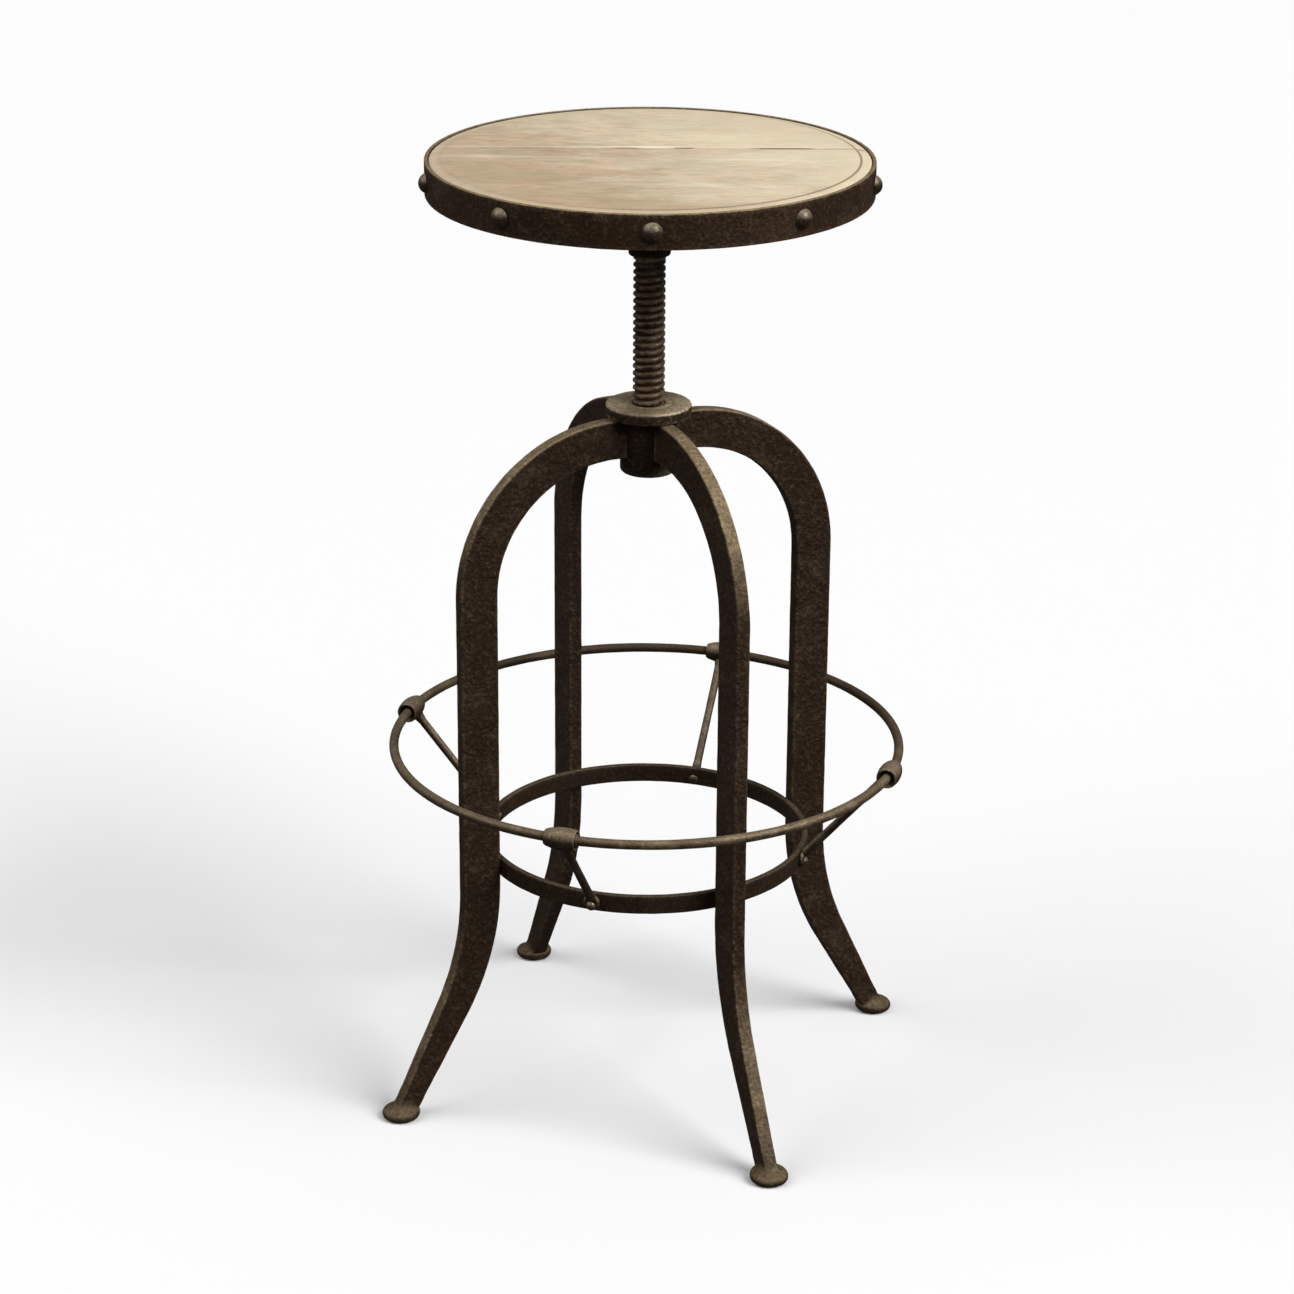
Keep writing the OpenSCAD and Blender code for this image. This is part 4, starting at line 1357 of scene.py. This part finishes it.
# %% Foot ring and ferrule
ring_low, ring_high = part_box("foot_ring")
ROD_RADIUS = 4 * MM
ring_radius = ring_high.x - ROD_RADIUS
ring_z = (ring_low.z + ring_high.z) / 2
section = arc(ring_radius, ring_z, ROD_RADIUS - 0.1 * MM, 0, 360, 20)
ring = turned("round_foot_ring", section, 300)
hammer(ring, 0.09, 0.5 * MM)
hammer(ring, 0.008, 0.16 * MM)
finish(ring, "foot_ring", "base", "worn_rod", angle=60)

BARREL_HALF = 13.5 * MM
FERRULE_LENGTH = 16 * MM
FERRULE_WALL = 1.2 * MM
start_angle = -90 + math.degrees((BARREL_HALF + 0.6 * MM) / ring_radius)
sleeve_section = arc(ring_radius, ring_z, ROD_RADIUS + 0.1 * MM, 0, 360, 24)
sleeve = turned("ring_sleeve", sleeve_section, 10, FERRULE_LENGTH / ring_radius)
modify(sleeve, "SOLIDIFY", thickness=FERRULE_WALL, offset=1.0, use_even_offset=True)
modify(
    sleeve, "BEVEL",
    width=0.35 * MM, segments=2, limit_method="ANGLE", angle_limit=math.radians(60),
)
place(sleeve, [("Z", start_angle)])
hammer(sleeve, 0.006, 0.12 * MM)
finish(sleeve, "ring_ferrule", "base", "worn_rod", angle=50)

# %% [markdown]
# ## The struts
#
# Each strut is one forging: a barrel that the rod passes through, a thin bar, and a flat round
# palm that is riveted to the hoop. The barrel is turned lying on its own axis. It is pear-shaped,
# and its wide mouth is countersunk, so that the dark gap round the rod is real. The three shapes
# are then joined, and remeshed and smoothed like the bracket, which draws the bar out of the
# barrel. The front and left struts have their wide mouths the other way, so they are mirrored.

# %% One strut
PALM_RADIUS = 7 * MM
PALM_THICKNESS = 3.5 * MM
BARREL_BORE = 5.3 * MM
NARROW_MOUTH = 6.4 * MM
WIDE_MOUTH = 8.35 * MM
BARREL_MIDDLE = 9.4 * MM
BARREL_CREST = 2.5 * MM
COUNTERSINK = 4 * MM
LIP = 1.2 * MM
STRUT_RADIUS = 3.5 * MM
palm_x = hoop_high.x + 0.1 * MM
hoop_z = (hoop_low.z + hoop_high.z) / 2
foot_point = Vector((palm_x + STRUT_RADIUS, 0, hoop_z + 5.5 * MM))
ring_point = Vector((ring_radius, 0, ring_z))


def barrel_radius(along):
    """Radius of the pear-shaped barrel at a distance from its middle."""
    if along < BARREL_CREST:
        mouth_run = BARREL_HALF + BARREL_CREST
        drop = BARREL_MIDDLE - NARROW_MOUTH
    else:
        mouth_run = BARREL_HALF - BARREL_CREST
        drop = BARREL_MIDDLE - WIDE_MOUTH
    return BARREL_MIDDLE - drop * ((along - BARREL_CREST) / mouth_run) ** 2


def barrel_outline():
    """Along the outside from the narrow mouth to the wide one, and back through the bore."""
    stations = [(BARREL_HALF - 0.5 * MM) * (i / 8 - 1) for i in range(17)]
    points = [(barrel_radius(along), along) for along in stations]
    points += [
        (WIDE_MOUTH - 0.5 * MM, BARREL_HALF), (WIDE_MOUTH - LIP, BARREL_HALF - 0.2 * MM),
        (BARREL_BORE, BARREL_HALF - COUNTERSINK), (BARREL_BORE, -BARREL_HALF + 0.9 * MM),
        (BARREL_BORE + 0.3 * MM, -BARREL_HALF + 0.1 * MM), (NARROW_MOUTH - 0.5 * MM, -BARREL_HALF),
    ]
    return points + points[:1]


barrel = place(turned("strut", barrel_outline(), 56), [("X", 90)], ring_point)
run = ring_point - foot_point
bar_length = run.length - BARREL_BORE - 0.8 * MM
bar = turned("strut_bar", [
    (0, -2 * MM), (STRUT_RADIUS * 0.8, -2 * MM), (STRUT_RADIUS + 0.5 * MM, 1 * MM),
    (STRUT_RADIUS, 7 * MM), (STRUT_RADIUS - 0.15 * MM, bar_length / 2),
    (STRUT_RADIUS, bar_length - 8 * MM),
    (STRUT_RADIUS + 1.2 * MM, bar_length - 2 * MM), (STRUT_RADIUS + 1.8 * MM, bar_length), (0, bar_length),
], 32)
place(bar, [("Y", math.degrees(math.atan2(run.x, run.z)))], foot_point)
palm = turned("strut_palm", [
    (0, 0), (PALM_RADIUS - 0.3 * MM, 0), (PALM_RADIUS, 0.5 * MM),
    (PALM_RADIUS, PALM_THICKNESS - 1.2 * MM),
    (PALM_RADIUS - 1.4 * MM, PALM_THICKNESS), (0, PALM_THICKNESS),
], 48)
place(palm, [("Y", 90)], (palm_x, 0, hoop_z))
strut = join([barrel, bar, palm], "forged_strut")
cast_together(strut, 0.55 * MM)
hammer(strut, 0.007, 0.15 * MM)


def other_hand(piece, name):
    """A mirrored copy of a piece, across the XZ plane, with its normals put right."""
    copy = twin(piece, name)
    edit(copy)
    bpy.ops.mesh.select_all(action="SELECT")
    bpy.ops.transform.mirror(constraint_axis=(False, True, False), center_override=(0, 0, 0))
    bpy.ops.mesh.normals_make_consistent(inside=False)
    leave()
    return copy


back = place(twin(strut, "back_strut_1"), [("Z", 90)])
front = place(other_hand(strut, "front_strut"), [("Z", -90)])
left = place(other_hand(strut, "left_strut"), [("Z", 180)])
for side, piece in (("right", strut), ("back", back), ("left", left), ("front", front)):
    finish(piece, f"strut_{side}", "base", "worn_rod", strut_iron, angle=80)

# %% [markdown]
# ## The strut rivets
#
# A rivet through each palm holds it to the hoop, with a dome outside and a flatter head inside.
# It is one turned outline from head to head, laid over to point outwards and copied four times.

# %% Strut rivets
OUTER_DOME = 2.5 * MM
OUTER_BALL = 4.45 * MM
INNER_DOME = 1.5 * MM
INNER_BALL = 6.1 * MM
HEAD_RADIUS = 3.9 * MM
SHANK_RADIUS = 2.25 * MM
PALM_DROP = 2.5 * MM
rivet_length = palm_x + PALM_THICKNESS - (hoop_high.x - HOOP_THICKNESS) + 0.1 * MM
outer = arc(0, OUTER_DOME - OUTER_BALL, OUTER_BALL, 32, 90, 7)
outer[-1] = (0, OUTER_DOME)
inner = arc(0, -rivet_length - INNER_DOME + INNER_BALL, INNER_BALL, -90, -51, 6)
inner[0] = (0, -rivet_length - INNER_DOME)
hoop_rivet = turned("hoop_rivet", inner + [
    (HEAD_RADIUS, -rivet_length), (SHANK_RADIUS, -rivet_length),
    (SHANK_RADIUS, 0.02 * MM), (HEAD_RADIUS, 0.02 * MM),
] + outer, 32)
place(hoop_rivet, [("Y", 90)], (palm_x + PALM_THICKNESS, 0, hoop_z - PALM_DROP))
hoop_rivets = join(copies_around(hoop_rivet, 4, "hoop_rivet"), "hoop_rivets")
finish(hoop_rivets, "strut_rivets", "base", "plain_steel")
